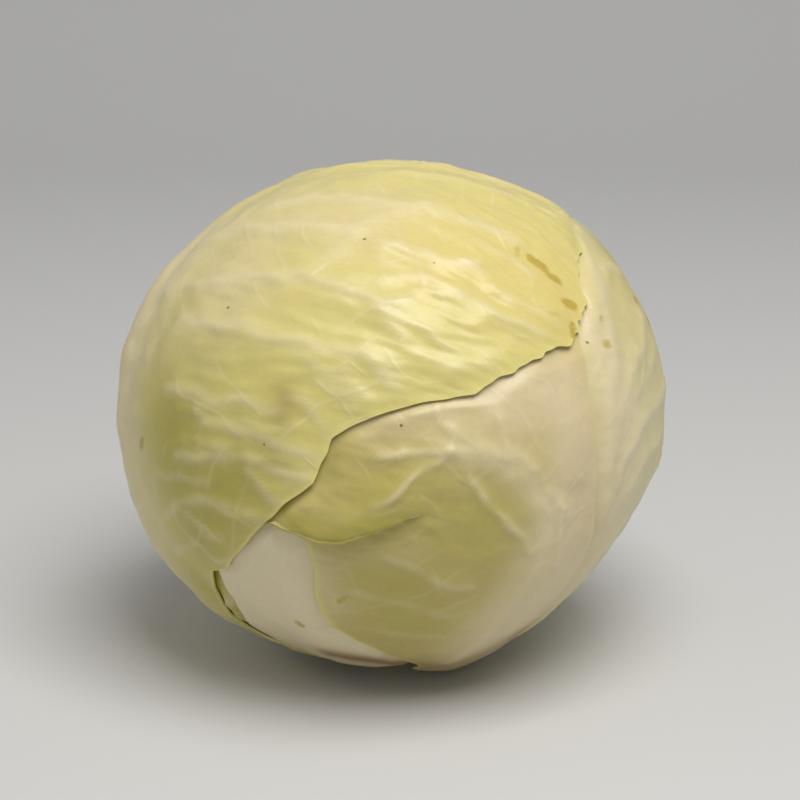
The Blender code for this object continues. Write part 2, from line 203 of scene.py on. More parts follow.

# %% [markdown]
# ## The six wrapper leaves
#
# From the innermost to the outermost: two low leaves of which only the pale bases show, the right
# leaf, the front leaf with its folded lip, the big leaf that covers the left side and the top, and
# the back leaf. Their ribs and patches of colour were drawn as short lines of directions;
# where no rib was drawn, the ribs follow the rule in a later step.
#
# The low leaves come first. They carry the others, so only their bases matter: one green, one
# thick and almost white. Its brown patch is the dry skin next to the cut stalk.

# %% The low leaves
low_left = Leaf(
    (-60, -25),
    left=((-60, 12), (-40, 26), (0, 36), (30, 24), (42, 8)),
    right=((-60, 12), (-50, 20), (-40, 28), (-18, 36), (0, 34), (30, 26), (42, 8)),
    lean=((0, 0), (100, 10)),
    tints=(("green", 0.9, 60, ((-60, -40), (-60, -20))),),
)
low_front = Leaf(
    (-25, -20),
    left=((-59, 15), (-47, 29), (-32, 26), (-17, 24), (-5, 26), (15, 30), (40, 22)),
    right=((-59, 22), (-45, 33), (-33, 30), (-20, 28), (0, 28), (15, 28), (40, 20)),
    ribs={"Rib Height": 0.0, "Midrib Height": 1.5},
    tints=(
        ("pale", 1.0, 60, ((-25, -40), (-25, -20))),
        ("brown", 1.0, 4.4, ((-20, -48), (-12, -50), (-4, -51), (4, -54))),
        ("stain", 0.9, 2.6, ((-24, -33), (-23, -34))),
    ),
)
print("low leaves end", low_left.left[-1, 0], "and", low_front.left[-1, 0], "mm past their middles")

# %% [markdown]
# ## The right leaf
#
# This leaf turns away to the right, so its ribs are seen fanning out towards the outline, where
# they make it bumpy. Ribs by rule would all have the same gap. Drawing each one as a line of a few
# directions keeps the fan as it is on the plant.

# %% The right leaf
right_leaf = Leaf(
    (85, 5),
    left=(
        (-127, 12), (-97, 22), (-81, 34), (-64, 44), (-48, 55), (-30, 65), (-10, 70),
        (20, 70), (40, 62), (60, 48), (80, 28), (95, 8),
    ),
    right=((-127, 12), (-100, 22), (-60, 46), (0, 62), (40, 55), (70, 35), (95, 8)),
    ribs={"Rib Height": 0.5, "Midrib Height": 0.7},
    veins=(
        (1.1, 5.0, ((73, 40), (63, 30), (54, 18), (50, 7), (49, -8), (47, -30))),
        (1.1, 3.8, ((50, 0), (53, 9), (62, 17), (74, 20), (84, 24))),
        (1.2, 3.8, ((49, -12), (55, 0), (64, 6), (79, 8), (86, 9))),
        (0.9, 3.4, ((49, -20), (56, -8), (66, -2), (80, 0))),
        (1.1, 3.8, ((50, -30), (61, -18), (71, -11), (82, -7), (88, -7))),
        (0.7, 2.6, ((53, 4), (60, 12), (72, 14), (84, 17))),
        (0.8, 3.0, ((90, 33), (84, 37), (76, 38))),
    ),
    tints=(
        ("blush", 0.6, 9, ((56, 30), (53, 5), (52, -30))),
        ("warm", 0.35, 16, ((66, 40), (80, 28))),
        ("pale", 0.5, 9, ((60, 10), (60, -10), (62, -34))),
        ("green", 0.75, 15, ((96, 36), (96, 12), (88, -18), (76, -38))),
        ("stain", 0.9, 3.0, ((57, 25), (58, 25))),
        ("stain", 0.8, 2.6, ((60, 30), (61, 30))),
        ("stain", 0.9, 3.0, ((86, 27), (88, 27))),
        ("stain", 0.9, 3.0, ((88, 21), (90, 21))),
    ),
)
print("right leaf:", len(right_leaf.veins), "drawn ribs")

# %% [markdown]
# ## The front leaf
#
# Across its left half this leaf is folded: the upper part hangs over the lower one as a lip.
# Its ribs meet in one point above the fold, and its right side is a broad pale midrib. First come
# its ribs, each with a height, a width and a line, and its patches of colour; the narrow green
# strip along the lip is partly the leaf's own yellow green and partly painted shade under the fold.

# %% Ribs and patches of the front leaf
FRONT_VEINS = (
    (1.4, 8.0, (
        (20, -50), (25, -42), (29, -28), (33, -17), (33, -7), (30, 0), (24, 8), (13, 11),
    )),
    (1.4, 1.9, ((-2, 10), (6, 10), (13, 11))),
    (1.3, 1.9, ((13, 11), (13, 15), (11, 17), (10, 20))),
    (1.4, 1.9, ((13, 11), (7, 7), (2, 3), (-3, 0))),
    (1.5, 2.0, ((13, 11), (18, 2), (26, -8), (30, -14))),
    (1.2, 2.1, ((13, 15), (20, 10), (30, 4), (37, -5), (38, -18))),
    (1.0, 2.0, ((23, 16), (25, 8), (30, 4))),
    (0.6, 3.0, ((-2, -11), (4, -14), (10, -18), (18, -22))),
    (0.35, 3.4, ((-8, -22), (0, -24), (9, -28), (17, -30))),
    (0.35, 3.4, ((-3, -34), (7, -38), (17, -38), (26, -34))),
    (0.5, 3.0, ((3, -57), (14, -55), (28, -54), (40, -50))),
    (0.3, 9.0, ((-15, -15), (-8, -13), (0, -11), (5, -12))),
    (0.8, 2.6, ((50, 24), (50, 8), (48, -10), (44, -30))),
)
FRONT_TINTS = (
    ("pale", 0.5, 10, ((30, -50), (36, -34), (39, -20), (37, -6))),
    ("blush", 0.85, 19, ((38, -44), (46, -20), (46, 0), (40, 18), (24, 22))),
    ("blush", 0.6, 12, ((14, 19), (-2, 19))),
    ("pale", 0.35, 7, ((-17, -15), (-14, -25))),
    ("green", 0.15, 18, ((-20, 12), (-6, 8), (8, 4))),
    # Partly the leaf's yellow green at the lip, partly painted shade: a dark green strip under the
    # fold.
    ("green", 0.8, 4.5, ((-22, -4), (-12, -7), (-4, -4), (2, -3))),
    ("green", 0.5, 17, ((-3, -14), (2, -22), (7, -34))),
    ("green", 0.45, 14, ((0, 2), (10, -4), (20, -8))),
    ("green", 0.2, 20, ((14, -40), (20, -28), (24, -16))),
    ("brown", 0.55, 6.5, ((10, -55), (18, -53), (32, -51), (44, -47), (52, -43))),
    ("stain", 0.8, 2.4, ((-12, -25), (-10, -23))),
)
print("front leaf:", len(FRONT_VEINS), "ribs and", len(FRONT_TINTS), "patches of colour")

# %% [markdown]
# ## The front leaf's outline and fold
#
# The fold could be sculpted, or left to a cloth simulation that has to be stopped at the right
# moment. Here the lip is given as a height for each distance left of the midrib, so the fold
# starts from nothing and runs out at the leaf's edge, and every number can be changed alone.

# %% The front leaf
front_leaf = Leaf(
    (34, -5),
    left=(
        (-83, 1), (-78, 2), (-73, 12), (-70, 21), (-63, 34.5), (-55.5, 46), (-44, 53), (-34.5, 58),
        (-20, 63), (-10, 68), (-1.2, 73), (1.2, 88), (14, 92), (32, 90), (50, 80), (62, 62),
        (72, 42), (82, 16),
    ),
    right=(
        (-87, 12), (-76, 26), (-65, 33), (-46, 31), (-28, 29), (-13, 25), (5, 18),
        (22, 13), (39, 9), (52, 8), (66, 12), (82, 10),
    ),
    lean_left=(
        (0, 0), (32, -5.5), (44, -9), (50, -13), (56, -17), (61, -20.5), (66, -22.5),
        (73, -24), (80, -27), (86, -31), (92, -36),
    ),
    lip=(
        (39, 0), (43, 1.6), (48, 3.0), (54, 4.4), (60, 5.4), (66, 5.2), (73, 4.0), (80, 2.2),
        (87, 0.8), (92, 0.2),
    ),
    ribs={"Rib Height": 0.0, "Midrib Height": 0.0},
    rim=(1.0, 0.15),
    edge_wave=0.3,
    veins=FRONT_VEINS,
    tints=FRONT_TINTS,
)
print("front leaf: the lip stands", front_leaf.lip[:, 1].max(), "mm off the leaf below it")

# %% [markdown]
# ## The cover leaf
#
# The biggest leaf lies over the left side and the whole top, and its edge crosses the front from
# the upper right to the lower left. Its midrib runs up the left side. Many small creases branch
# towards the edge, where the leaf dried and wrinkled a little. A few long ribs and a fine noise
# would look too even, so the larger creases are drawn one by one.

# %% Ribs and creases of the cover leaf
COVER_VEINS = (
    (1.2, 4.6, ((-75, 33), (-57, 40), (-42, 44), (-25, 46), (-13, 44), (-2, 42), (5, 42))),
    (1.0, 4.6, ((-81, 45), (-63, 54), (-48, 58), (-30, 60), (-13, 60))),
    (1.1, 4.6, (
        (-69, 61), (-55, 68), (-21, 71), (3, 68), (22, 67), (34, 62), (45, 58), (48, 53),
    )),
    (0.6, 4.6, ((-74, 51), (-83, 60), (-85, 66))),
    (0.6, 4.6, ((-24, 49), (-20, 54), (-14, 61), (-3, 66), (11, 67))),
    (1.1, 3.8, ((-60, 29), (-45, 32), (-30, 32), (-16, 31), (-7, 30), (-1, 26), (1, 24))),
    (0.6, 4.0, ((-25, 32), (-19, 28), (-14, 26), (-9, 23))),
    (0.9, 3.6, ((-55, 16), (-45, 17), (-37, 17), (-31, 18), (-24, 17))),
    (0.8, 2.8, ((-23, 20), (-19, 19), (-17, 18), (-14, 16))),
    (0.7, 2.6, ((-16, 24), (-10, 22), (-7, 19))),
    (0.8, 2.6, ((-12, 27), (-8, 23), (-5, 21))),
    (1.0, 3.2, ((-45, 14), (-40, 13), (-34, 12), (-27, 12), (-21, 10), (-15, 9))),
    (0.6, 2.6, ((-32, 14), (-26, 14), (-21, 14))),
    (1.1, 3.2, ((-49, 3), (-38, 6), (-31, 7), (-25, 6), (-20, 5), (-16, 5))),
    (0.7, 2.6, ((-42, 8), (-36, 8), (-31, 7))),
    (0.8, 3.0, ((-56, -2), (-46, -1), (-40, 0))),
    (0.9, 2.8, ((-30, 4), (-27, 1), (-24, 0), (-22, -1))),
    (1.1, 3.2, ((-59, -14), (-51, -8), (-42, -4), (-36, -4), (-31, -5), (-27, -6))),
    (0.8, 2.8, ((-47, -9), (-42, -11), (-38, -12))),
    (0.9, 3.0, ((-58, -22), (-47, -16), (-42, -18), (-38, -18))),
    (0.8, 2.8, ((-4, 41), (0, 37), (3, 33))),
    (1.0, 3.2, ((-4, 58), (10, 55), (21, 50), (29, 49))),
    (0.8, 2.6, ((21, 50), (27, 50), (30, 46))),
    (0.8, 2.8, ((-3, 47), (4, 48), (13, 46))),
    (0.9, 2.8, ((15, 44), (25, 40), (31, 35), (38, 31))),
    (0.9, 2.8, ((-6, 42), (4, 38), (10, 34), (15, 31))),
    (0.7, 2.6, ((30, 44), (36, 39), (44, 33))),
    (0.7, 2.6, ((33, 56), (40, 50), (45, 44))),
    (0.7, 2.6, ((6, 30), (14, 27), (22, 27))),
    (1.2, 7.0, ((-80, 25), (-84, 10), (-82, -6), (-75, -22))),
)
print("cover leaf:", len(COVER_VEINS), "drawn ribs and creases")

# %% [markdown]
# ## The cover leaf's outline and colours
#
# Its right edge is the one that shows, so that side has many more widths than the left. Green
# lies low on its left, a pale band follows the midrib, and the old marks sit at the edge.

# %% The cover leaf
cover_leaf = Leaf(
    (-82, 15),
    left=(
        (-126, 12), (-90, 38), (-40, 62), (20, 68), (60, 56), (90, 40), (130, 34), (165, 26),
        (178, 10),
    ),
    right=(
        (-126, 3), (-106, 3), (-97, 6), (-90, 10), (-83, 16), (-74, 25.5), (-66.5, 34),
        (-64.5, 44), (-52, 61),
        (-41, 75), (-26, 92), (-8, 99), (3, 110), (16, 126), (25, 139), (44, 147), (60, 153),
        (79, 157), (94, 154), (115, 143), (132, 124), (148, 106), (163, 75), (172, 50), (178, 20),
    ),
    lean=((0, 0), (200, -20)),
    ribs={"Crinkle Height": 0.35, "Crinkle Size": 7.0},
    edge_wave=1.2,
    veins=COVER_VEINS,
    tints=(
        ("green", 0.8, 20, ((-50, 8), (-44, -12), (-36, 0))),
        ("green", 0.35, 18, ((-46, 25), (-30, 14))),
        ("green", 0.6, 14, ((-58, -30), (-50, -36), (-48, -46))),
        ("pale", 0.7, 15, ((-84, 44), (-80, 25), (-77, 10), (-74, -8), (-72, -22))),
        ("blush", 0.45, 22, ((-50, 40), (-60, 60), (-20, 66))),
        ("warm", 0.35, 20, ((20, 50), (40, 46), (50, 40))),
        ("warm", 0.7, 6, ((50, 46), (52, 33), (48, 29))),
        ("stain", 1.0, 3.2, ((50, 48), (52, 45))),
        ("stain", 0.9, 3.0, ((52, 43), (54, 41))),
        ("stain", 0.8, 2.6, ((46, 50), (47, 51))),
        ("stain", 1.0, 3.4, ((51, 36), (53, 35))),
        ("stain", 0.9, 3.0, ((49, 31), (48, 29))),
        ("stain", 0.7, 2.6, ((46, 34), (43, 35))),
        ("brown", 0.45, 4.0, ((-23, 17), (-23, 20))),
        ("stain", 0.9, 2.8, ((-64, 1), (-63, 3))),
        ("stain", 0.7, 2.2, ((-48, 7), (-48, 7.5))),
    ),
)
print("cover leaf:", len(cover_leaf.right), "widths on the right,", len(cover_leaf.left), "left")

# %% [markdown]
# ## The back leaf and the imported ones
#
# The outermost leaf closes the back, and the head rests on its thick base. Ribs by rule are enough
# for it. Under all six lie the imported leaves; three plain patterns, a third of a turn apart, give
# the hard head its raised edges.

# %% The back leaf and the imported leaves
back_leaf = Leaf(
    (168, -15),
    left=(
        (-127, 22), (-111, 34), (-90, 44), (-60, 62), (-20, 76), (20, 74), (60, 56), (90, 32),
        (108, 8),
    ),
    right=(
        (-127, 22), (-111, 34), (-90, 44), (-60, 64), (-20, 80), (20, 78), (60, 58), (90, 34),
        (108, 8),
    ),
    lean=((0, 0), (100, 15)),
    tints=(("green", 0.6, 40, ((150, 0), (190, -20))),),
)
LEAVES = (low_left, low_front, right_leaf, front_leaf, cover_leaf, back_leaf)
INNER_LEAVES = tuple(
    Leaf(
        (azimuth, 20),
        left=((-135, 12), (-60, 60), (10, 78), (60, 60), (95, 12)),
        right=((-135, 12), (-60, 60), (10, 78), (60, 60), (95, 12)),
        lean=((0, 0), (100, 20)),
    )
    for azimuth in (40, 175, 290)
)
print(len(LEAVES), "wrapper leaves over", len(INNER_LEAVES), "packed ones")

# %% [markdown]
# ## Leaves that lie on leaves
#
# Real wrapper leaves rest on each other without passing through. Cloth simulation could drape
# them, but it drifts and can't be relied on to keep the head's outline. Here the outside of the
# whole head is fixed first, and the room that every leaf needs is taken off below it: a leaf lies
# on the sum of the leaves under it, and where one ends, the sum ramps down over a few millimetres.

# %% Stacking
SHEET = 0.75
AIR = 0.4
EDGE_RAMP = 9.0
SHOW_RAMP = 6.0
INNER_EDGE = 1.0
LIP_OVERHANG = 4.5
LIP_LENGTH = 16.0


def stack_height(directions, below):
    """How high everything under a leaf stands, in millimetres."""
    height = np.zeros(len(directions))
    for leaf in INNER_LEAVES:
        height += INNER_EDGE * smooth_step(leaf.inside(directions) / EDGE_RAMP + 1)
    for leaf in LEAVES[:below]:
        height += (SHEET + AIR) * smooth_step(leaf.inside(directions) / EDGE_RAMP + 1)
    return height


def fold_height(leaf, x, station):
    """How far the fold above the lip stands off the head."""
    return leaf.lip_height(x) * np.exp(-((np.maximum(station, 0) / LIP_LENGTH) ** 2))


def folds_below(directions, below):
    height = np.zeros(len(directions))
    for leaf in LEAVES[:below]:
        x, y = leaf.flat(directions)
        station = y - leaf.lean(x)
        lift = fold_height(leaf, x, station) * smooth_step(station / EDGE_RAMP + 1)
        height += lift * smooth_step(leaf.inside(directions) / EDGE_RAMP + 1)
    return height


def core_radius(directions):
    return outer_radius(directions) - stack_height(directions, len(LEAVES))


def showing(directions, level):
    """1 where no leaf lies over this one, 0 where one does."""
    seen = np.ones(len(directions))
    for leaf in LEAVES[level + 1 :]:
        seen *= 1 - smooth_step(leaf.inside(directions) / SHOW_RAMP + 1)
    return seen


print("the leaves stand", stack_height(STALK[None], len(LEAVES)).round(2), "mm high at the stalk")

# %% [markdown]
# ## Waves for edges and ribs
#
# Nothing on a leaf is a ruled line. A few sine waves of unlike lengths, added up, swing to and fro
# without ever quite repeating, and give the same result on every run. One such wave moves the
# edges, and another shifts the directions before a drawn rib is measured, so that the ribs wander.

# %% Waves that never quite repeat
SLOW_WAVE = 5.3
QUICK_WAVE = 2.3
FINE_WAVE = 1.3
WAVE_DRIFT = 11.0
QUICK_SHARE = 0.8
FINE_SHARE = 0.6
QUICK_SHIFT = 2.1
FINE_SHIFT = 3.3
WANDER = 0.008
WANDER_LONG = 31
WANDER_SHORT = 57
WANDER_SHORT_SHARE = 0.6
LONG_PHASES = (0, 1, 2)
SHORT_PHASES = (3, 4, 5)


def wave(place, seed):
    """Three waves that never quite repeat, between -1 and 1."""
    slow = np.sin(place / SLOW_WAVE + seed)
    quick = np.sin(place / QUICK_WAVE + QUICK_SHIFT * seed + np.sin(place / WAVE_DRIFT))
    fine = np.sin(place / FINE_WAVE + FINE_SHIFT * seed)
    return (slow + QUICK_SHARE * quick + FINE_SHARE * fine) / (1 + QUICK_SHARE + FINE_SHARE)


def wander(directions):
    """The directions, shifted a little to and fro so that drawn ribs aren't ruled lines."""
    swing = np.sin(directions[:, [1, 2, 0]] * WANDER_LONG + LONG_PHASES)
    short = np.sin(directions[:, [2, 0, 1]] * WANDER_SHORT + SHORT_PHASES)
    return directions + WANDER * (swing + WANDER_SHORT_SHARE * short)


horizon = np.arange(360.0)
around = unit(horizon, 0 * horizon)
shift = np.linalg.norm(wander(around) - around, axis=1) * PLANE_RADIUS
print("along the horizon, ribs wander by up to", shift.max().round(1), "mm")

# %% [markdown]
# ## From pattern to grid
#
# A leaf becomes a grid of points: columns at stations along the midrib, rows from its left edge
# to its right. Where the front leaf folds, a dozen extra columns roll the sheet out, over and
# back down, which makes the hollow under the lip. A leaf without a lip has no such columns.

# %% Rows, columns and the wall of the lip
LIP_WALL = (
    (-1.2, 0), (0.2, 0.01), (1.5, 0.06), (2.3, 0.18), (2.4, 0.34), (1.4, 0.55), (-0.4, 0.72),
    (-2.2, 0.86), (-3.2, 0.93), (-3.5, 0.97), (-3.3, 1.0), (-2.7, 1.01), (-1.8, 1.0),
)


def sheet_grid(leaf, step):
    """(share across, station, share up the lip's wall or -1) of the rows and columns."""
    start, tip = leaf.left[0, 0], leaf.left[-1, 0]
    if leaf.lip[:, 1].max() == 0:
        station = np.linspace(start, tip, int((tip - start) / step) + 1)
        wall = np.full(len(station), -1.0)
    else:
        low = np.arange(start, LIP_WALL[0][0], step)
        high = np.arange(-LIP_WALL[0][0] + step, tip, step)
        middle = np.linspace(LIP_WALL[0][0], -LIP_WALL[0][0], len(LIP_WALL))
        station = np.concatenate([low, middle, high, [tip]])
        wall = np.concatenate([low * 0 - 1, np.linspace(0, 1, len(LIP_WALL)), high * 0 - 1, [-1]])
    width = leaf.left[:, 1].max() + leaf.right[:, 1].max()
    share = np.linspace(-1, 1, int(width / step) | 1)
    return share, station, wall


def roll_over_lip(leaf, x, station, wall):
    """Where points lie along the leaf, and how far they are lifted, once the fold is made."""
    fold = fold_height(leaf, x, station)
    full = np.minimum(fold / max(leaf.lip[:, 1].max(), TINY), 1)
    path = np.array(LIP_WALL)
    share = np.linspace(0, 1, len(path))
    rolled = np.interp(wall, share, path[:, 0])
    risen = np.interp(wall, share, path[:, 1])
    hung = np.where(station > 0, station - LIP_OVERHANG * full, station)
    place = np.where(wall >= 0, station * (1 - full) + rolled * full, hung)
    lifted = np.where(wall >= 0, wall * (1 - full) + risen * full, station > 0)
    return place, fold * lifted


grid = sheet_grid(front_leaf, 1.0)
print("with steps of 1 mm the front leaf has", len(grid[0]), "by", len(grid[1]), "points")

# %% [markdown]
# ## Values stored on the points
#
# Later steps need to know how far a point is across and along the leaf, how much of it shows, how
# much room is left to the floor, how near a rib is, and how strong each patch of colour is.
# Blender calls such a value an attribute, and both Geometry Nodes and materials can read it by
# name. They could be painted by hand; worked out from the drawn lines, they follow every change.

# %% Ribs and patches of colour as attributes
CHANNELS = ("green", "pale", "warm", "blush", "brown", "stain")
VEIN_START = 8.0
VEIN_REACH = 22.0
VEIN_CORE = 0.55
CREST = 1.18


def drawn_ribs(leaf, directions):
    """How high the drawn ribs stand, how pale they are and how free of them a point is."""
    crease = np.zeros(len(directions))
    vein = np.zeros(len(directions))
    nearest = np.full(len(directions), FAR)
    wandered = wander(directions)
    for height, spread, line in leaf.veins:
        away = distance_to_line(wandered, line)
        crease = np.hypot(crease, height * np.exp(-((away / spread) ** CREST)))
        core = np.exp(-((away / (VEIN_CORE * spread)) ** 2))
        vein = np.maximum(vein, min(height, 1.0) * core)
        nearest = np.minimum(nearest, away)
    free = smooth_step((nearest - VEIN_START) / VEIN_REACH)
    return {"crease": crease, "vein": vein, "free": free}


def colour_patches(leaf, directions):
    values = {channel: np.zeros(len(directions)) for channel in CHANNELS}
    for channel, strength, spread, line in leaf.tints:
        away = distance_to_line(directions, line)
        patch = strength * np.exp(-((away / spread) ** 2))
        values[channel] = np.maximum(values[channel], patch)
    return values


print("channels of colour:", ", ".join(CHANNELS))

# %% [markdown]
# ## A sheet in its place
#
# Now the grid is laid on the head. Its edge gets the waves, so that it isn't a clean cut, and
# lifts off a little where there is room above the floor. The ribs aren't raised yet: the sheet
# only carries their heights.

# %% The points of a sheet
EDGE_LIFT = 0.45
EDGE_LIFT_PACE = 0.8
EDGE_LIFT_SEED = 5
EDGE_REACH = 5.0
EDGE_CALM = 0.6
EDGE_LINE = 1.5
WAVY_FROM = 110.0
WAVY_LEAST = 0.5
OTHER_SIDE = 40


def sheet_points(level, step):
    """The points of a sheet in millimetres, without its ribs, and their attributes."""
    leaf = LEAVES[level]
    share, station, wall = sheet_grid(leaf, step)
    share, station = np.meshgrid(share, station)
    shape = share.shape
    wall = np.repeat(wall, shape[1])
    share, station = share.ravel(), station.ravel()
    width = leaf.half_width(station, share)
    swing = leaf.edge_wave * (WAVY_LEAST + np.clip(station / WAVY_FROM, 0, 1))
    x = share * (width + swing * wave(station + OTHER_SIDE * np.sign(share), level))
    place, fold = roll_over_lip(leaf, x, station, wall)
    directions = leaf.direction(x, place + leaf.lean(x))
    inside = np.minimum(width * (1 - np.abs(share)), leaf.left[-1, 0] - station)
    edge = np.exp(-((inside / EDGE_REACH) ** 2))
    radius = core_radius(directions) + stack_height(directions, level)
    radius += folds_below(directions, level) + SHEET + AIR + fold
    room = np.maximum(floor_radius(directions) - outer_radius(directions), 0)
    flutter = (1 + wave(station * EDGE_LIFT_PACE, level + EDGE_LIFT_SEED)) / 2
    lift = np.minimum(EDGE_LIFT * edge * flutter, room)
    flat_x, flat_y = leaf.flat(directions)
    values = {
        "across": flat_x,
        "along": flat_y,
        "show": showing(directions, level) * (1 - EDGE_CALM * edge),
        "room": room - lift,
        "edge": np.exp(-((inside / EDGE_LINE) ** 2)) * np.where(x < 0, *leaf.rim),
        **drawn_ribs(leaf, directions),
        **colour_patches(leaf, directions),
    }
    points = directions * (radius + lift)[:, None]
    points[:, 2] += CENTRE_HEIGHT
    return points, values, shape


print("edges lift by up to", EDGE_LIFT, "mm")

# %% [markdown]
# ## From points to a mesh
#
# A mesh is a list of points, a list of faces that name their corners, and whatever values are
# stored along with them. A grid's faces follow from its rows and columns. Their corners have to
# be listed so that the faces look outwards, and a UV map keeps the flat pattern for the skin.


# %% The mesh of a sheet
def quad_faces(rows, columns):
    corner = np.arange(rows * columns).reshape(rows, columns)
    faces = np.stack([corner[:-1, :-1], corner[:-1, 1:], corner[1:, 1:], corner[1:, :-1]], axis=-1)
    return faces.reshape(-1, 4)


def outward(points, faces):
    """The faces, turned over if they look to the middle of the head."""
    a, b, c = (points[faces[:, k]] for k in range(3))
    normal = np.cross(b - a, c - a)
    if (normal * (a - (0, 0, CENTRE_HEIGHT))).sum() < 0:
        return faces[:, ::-1]
    return faces


def mesh_object(name, points, faces, values):
    """An object from points in millimetres, with attributes and a UV map of the leaf pattern."""
    mesh = bpy.data.meshes.new(name)
    mesh.from_pydata((points * MM).tolist(), [], faces.tolist())
    for key, value in values.items():
        layer = mesh.attributes.new(key, "FLOAT", "POINT")
        layer.data.foreach_set("value", value.astype(np.float32))
    corners = np.zeros(len(mesh.loops), int)
    mesh.loops.foreach_get("vertex_index", corners)
    pattern = np.stack([values["across"], values["along"]], axis=1) * MM
    layer = mesh.uv_layers.new(name="pattern")
    layer.uv.foreach_set("vector", pattern[corners].ravel().astype(np.float32))
    made = bpy.data.objects.new(name, mesh)
    bpy.context.scene.collection.objects.link(made)
    return made


print("a grid of 3 by 4 points has", len(quad_faces(3, 4)), "faces")

# %% [markdown]
# ## Building node trees in Python
#
# Geometry Nodes and materials are both trees of nodes. Small helpers keep them readable: one puts
# a node in a tree and fills or links its inputs, one does a single sum, and one gives a tree its
# named inputs and outputs.

# %% Helpers for node trees
def put(tree, kind, inputs=None, **settings):
    node = tree.nodes.new(kind)
    for key, value in settings.items():
        setattr(node, key, value)
    for key, value in (inputs or {}).items():
        if isinstance(value, bpy.types.NodeSocket):
            tree.links.new(value, node.inputs[key])
        else:
            node.inputs[key].default_value = value
    return node


def calc(tree, operation, *values):
    return put(tree, "ShaderNodeMath", dict(enumerate(values)), operation=operation).outputs[0]


def new_sockets(tree, inputs, outputs):
    """Adds named sockets: inputs as {name: (kind, default)}, outputs as {name: kind}."""
    for name, (kind, default) in inputs.items():
        made = tree.interface.new_socket(name, in_out="INPUT", socket_type=kind)
        if default is not None:
            made.default_value = default
    for name, kind in outputs.items():
        tree.interface.new_socket(name, in_out="OUTPUT", socket_type=kind)


print("helpers for trees:", put.__name__, calc.__name__, new_sockets.__name__)

# %% [markdown]
# ## Ribs by rule
#
# A cabbage leaf has one strong midrib, side ribs that leave it at even gaps and spread towards
# the edge, and soft puckers between them. That is a rule, so Geometry Nodes can raise them: the
# tree reads a point's place on the leaf, works out how far it is from the midrib and from the
# nearest side rib, adds the drawn ribs, and lifts the point straight off the head. Near the floor
# the lift is squeezed so that nothing goes through it.
#
# The tree's inputs are the sizes that a leaf can have. First come small helpers that read a stored
# value and shape it.

# %% Inputs and helpers of the rib tree
RIB_INPUTS = {
    "Midrib Height": ("NodeSocketFloat", 3.2),
    "Midrib Width": ("NodeSocketFloat", 8.5),
    "Midrib Foot": ("NodeSocketFloat", 45.0),
    "Rib Gap": ("NodeSocketFloat", 18.0),
    "Rib Height": ("NodeSocketFloat", 1.3),
    "Rib Width": ("NodeSocketFloat", 3.2),
    "Rib Fan": ("NodeSocketFloat", 0.022),
    "Leaf Start": ("NodeSocketFloat", -120.0),
    "Leaf Tip": ("NodeSocketFloat", 100.0),
    "Pucker Height": ("NodeSocketFloat", 1.1),
    "Pucker Size": ("NodeSocketFloat", 18.0),
    "Crinkle Height": ("NodeSocketFloat", 0.3),
    "Crinkle Size": ("NodeSocketFloat", 5.5),
    "Seed": ("NodeSocketFloat", float(SEED)),
    "Material": ("NodeSocketMaterial", None),
}


def read(tree, name):
    stored = put(tree, "GeometryNodeInputNamedAttribute", {"Name": name}, data_type="FLOAT")
    return stored.outputs[0]


def bell(tree, distance, width):
    """1 at distance 0, falling smoothly to 0 a few widths away."""
    ratio = calc(tree, "DIVIDE", distance, width)
    square = calc(tree, "MULTIPLY", ratio, ratio)
    return calc(tree, "EXPONENT", calc(tree, "MULTIPLY", square, -1.0))


def ramp(tree, value, low, high):
    node = put(
        tree, "ShaderNodeMapRange", {"Value": value, "From Min": low, "From Max": high},
        interpolation_type="SMOOTHSTEP",
    )
    return node.outputs[0]


def off_line(tree, place, gap):
    """How far a place is from the nearest of many lines that are a gap apart."""
    turns = calc(tree, "DIVIDE", place, gap)
    return calc(tree, "MULTIPLY", calc(tree, "SUBTRACT", turns, calc(tree, "ROUND", turns)), gap)


print("inputs of the rib tree:", ", ".join(RIB_INPUTS))

# %% [markdown]
# ## Midrib and side ribs
#
# The midrib is broad and high at the stalk end and slim at the tip. The side ribs are a comb of
# lines across the leaf, half a gap out of step on its two sides; ahead of the middle they fan
# forward. They fade towards the edge, and keep clear of ribs that were drawn.

# %% Where the ribs stand
MIDRIB_TIP_WIDTH = 0.35
MIDRIB_TIP_HEIGHT = 0.15
RIB_FADE = 110.0
RIB_START = 8.0


def midrib_profile(tree, given, x, y):
    tail = ramp(tree, y, given["Leaf Tip"], given["Leaf Start"])
    slim = calc(tree, "MULTIPLY_ADD", tail, 1 - MIDRIB_TIP_WIDTH, MIDRIB_TIP_WIDTH)
    low = calc(tree, "MULTIPLY_ADD", tail, 1 - MIDRIB_TIP_HEIGHT, MIDRIB_TIP_HEIGHT)
    width = calc(tree, "MULTIPLY", given["Midrib Width"], slim)
    midrib = calc(tree, "MULTIPLY", bell(tree, x, width), low)
    foot_end = calc(tree, "ADD", given["Leaf Start"], given["Midrib Foot"])
    return calc(tree, "MULTIPLY", midrib, ramp(tree, y, given["Leaf Start"], foot_end))


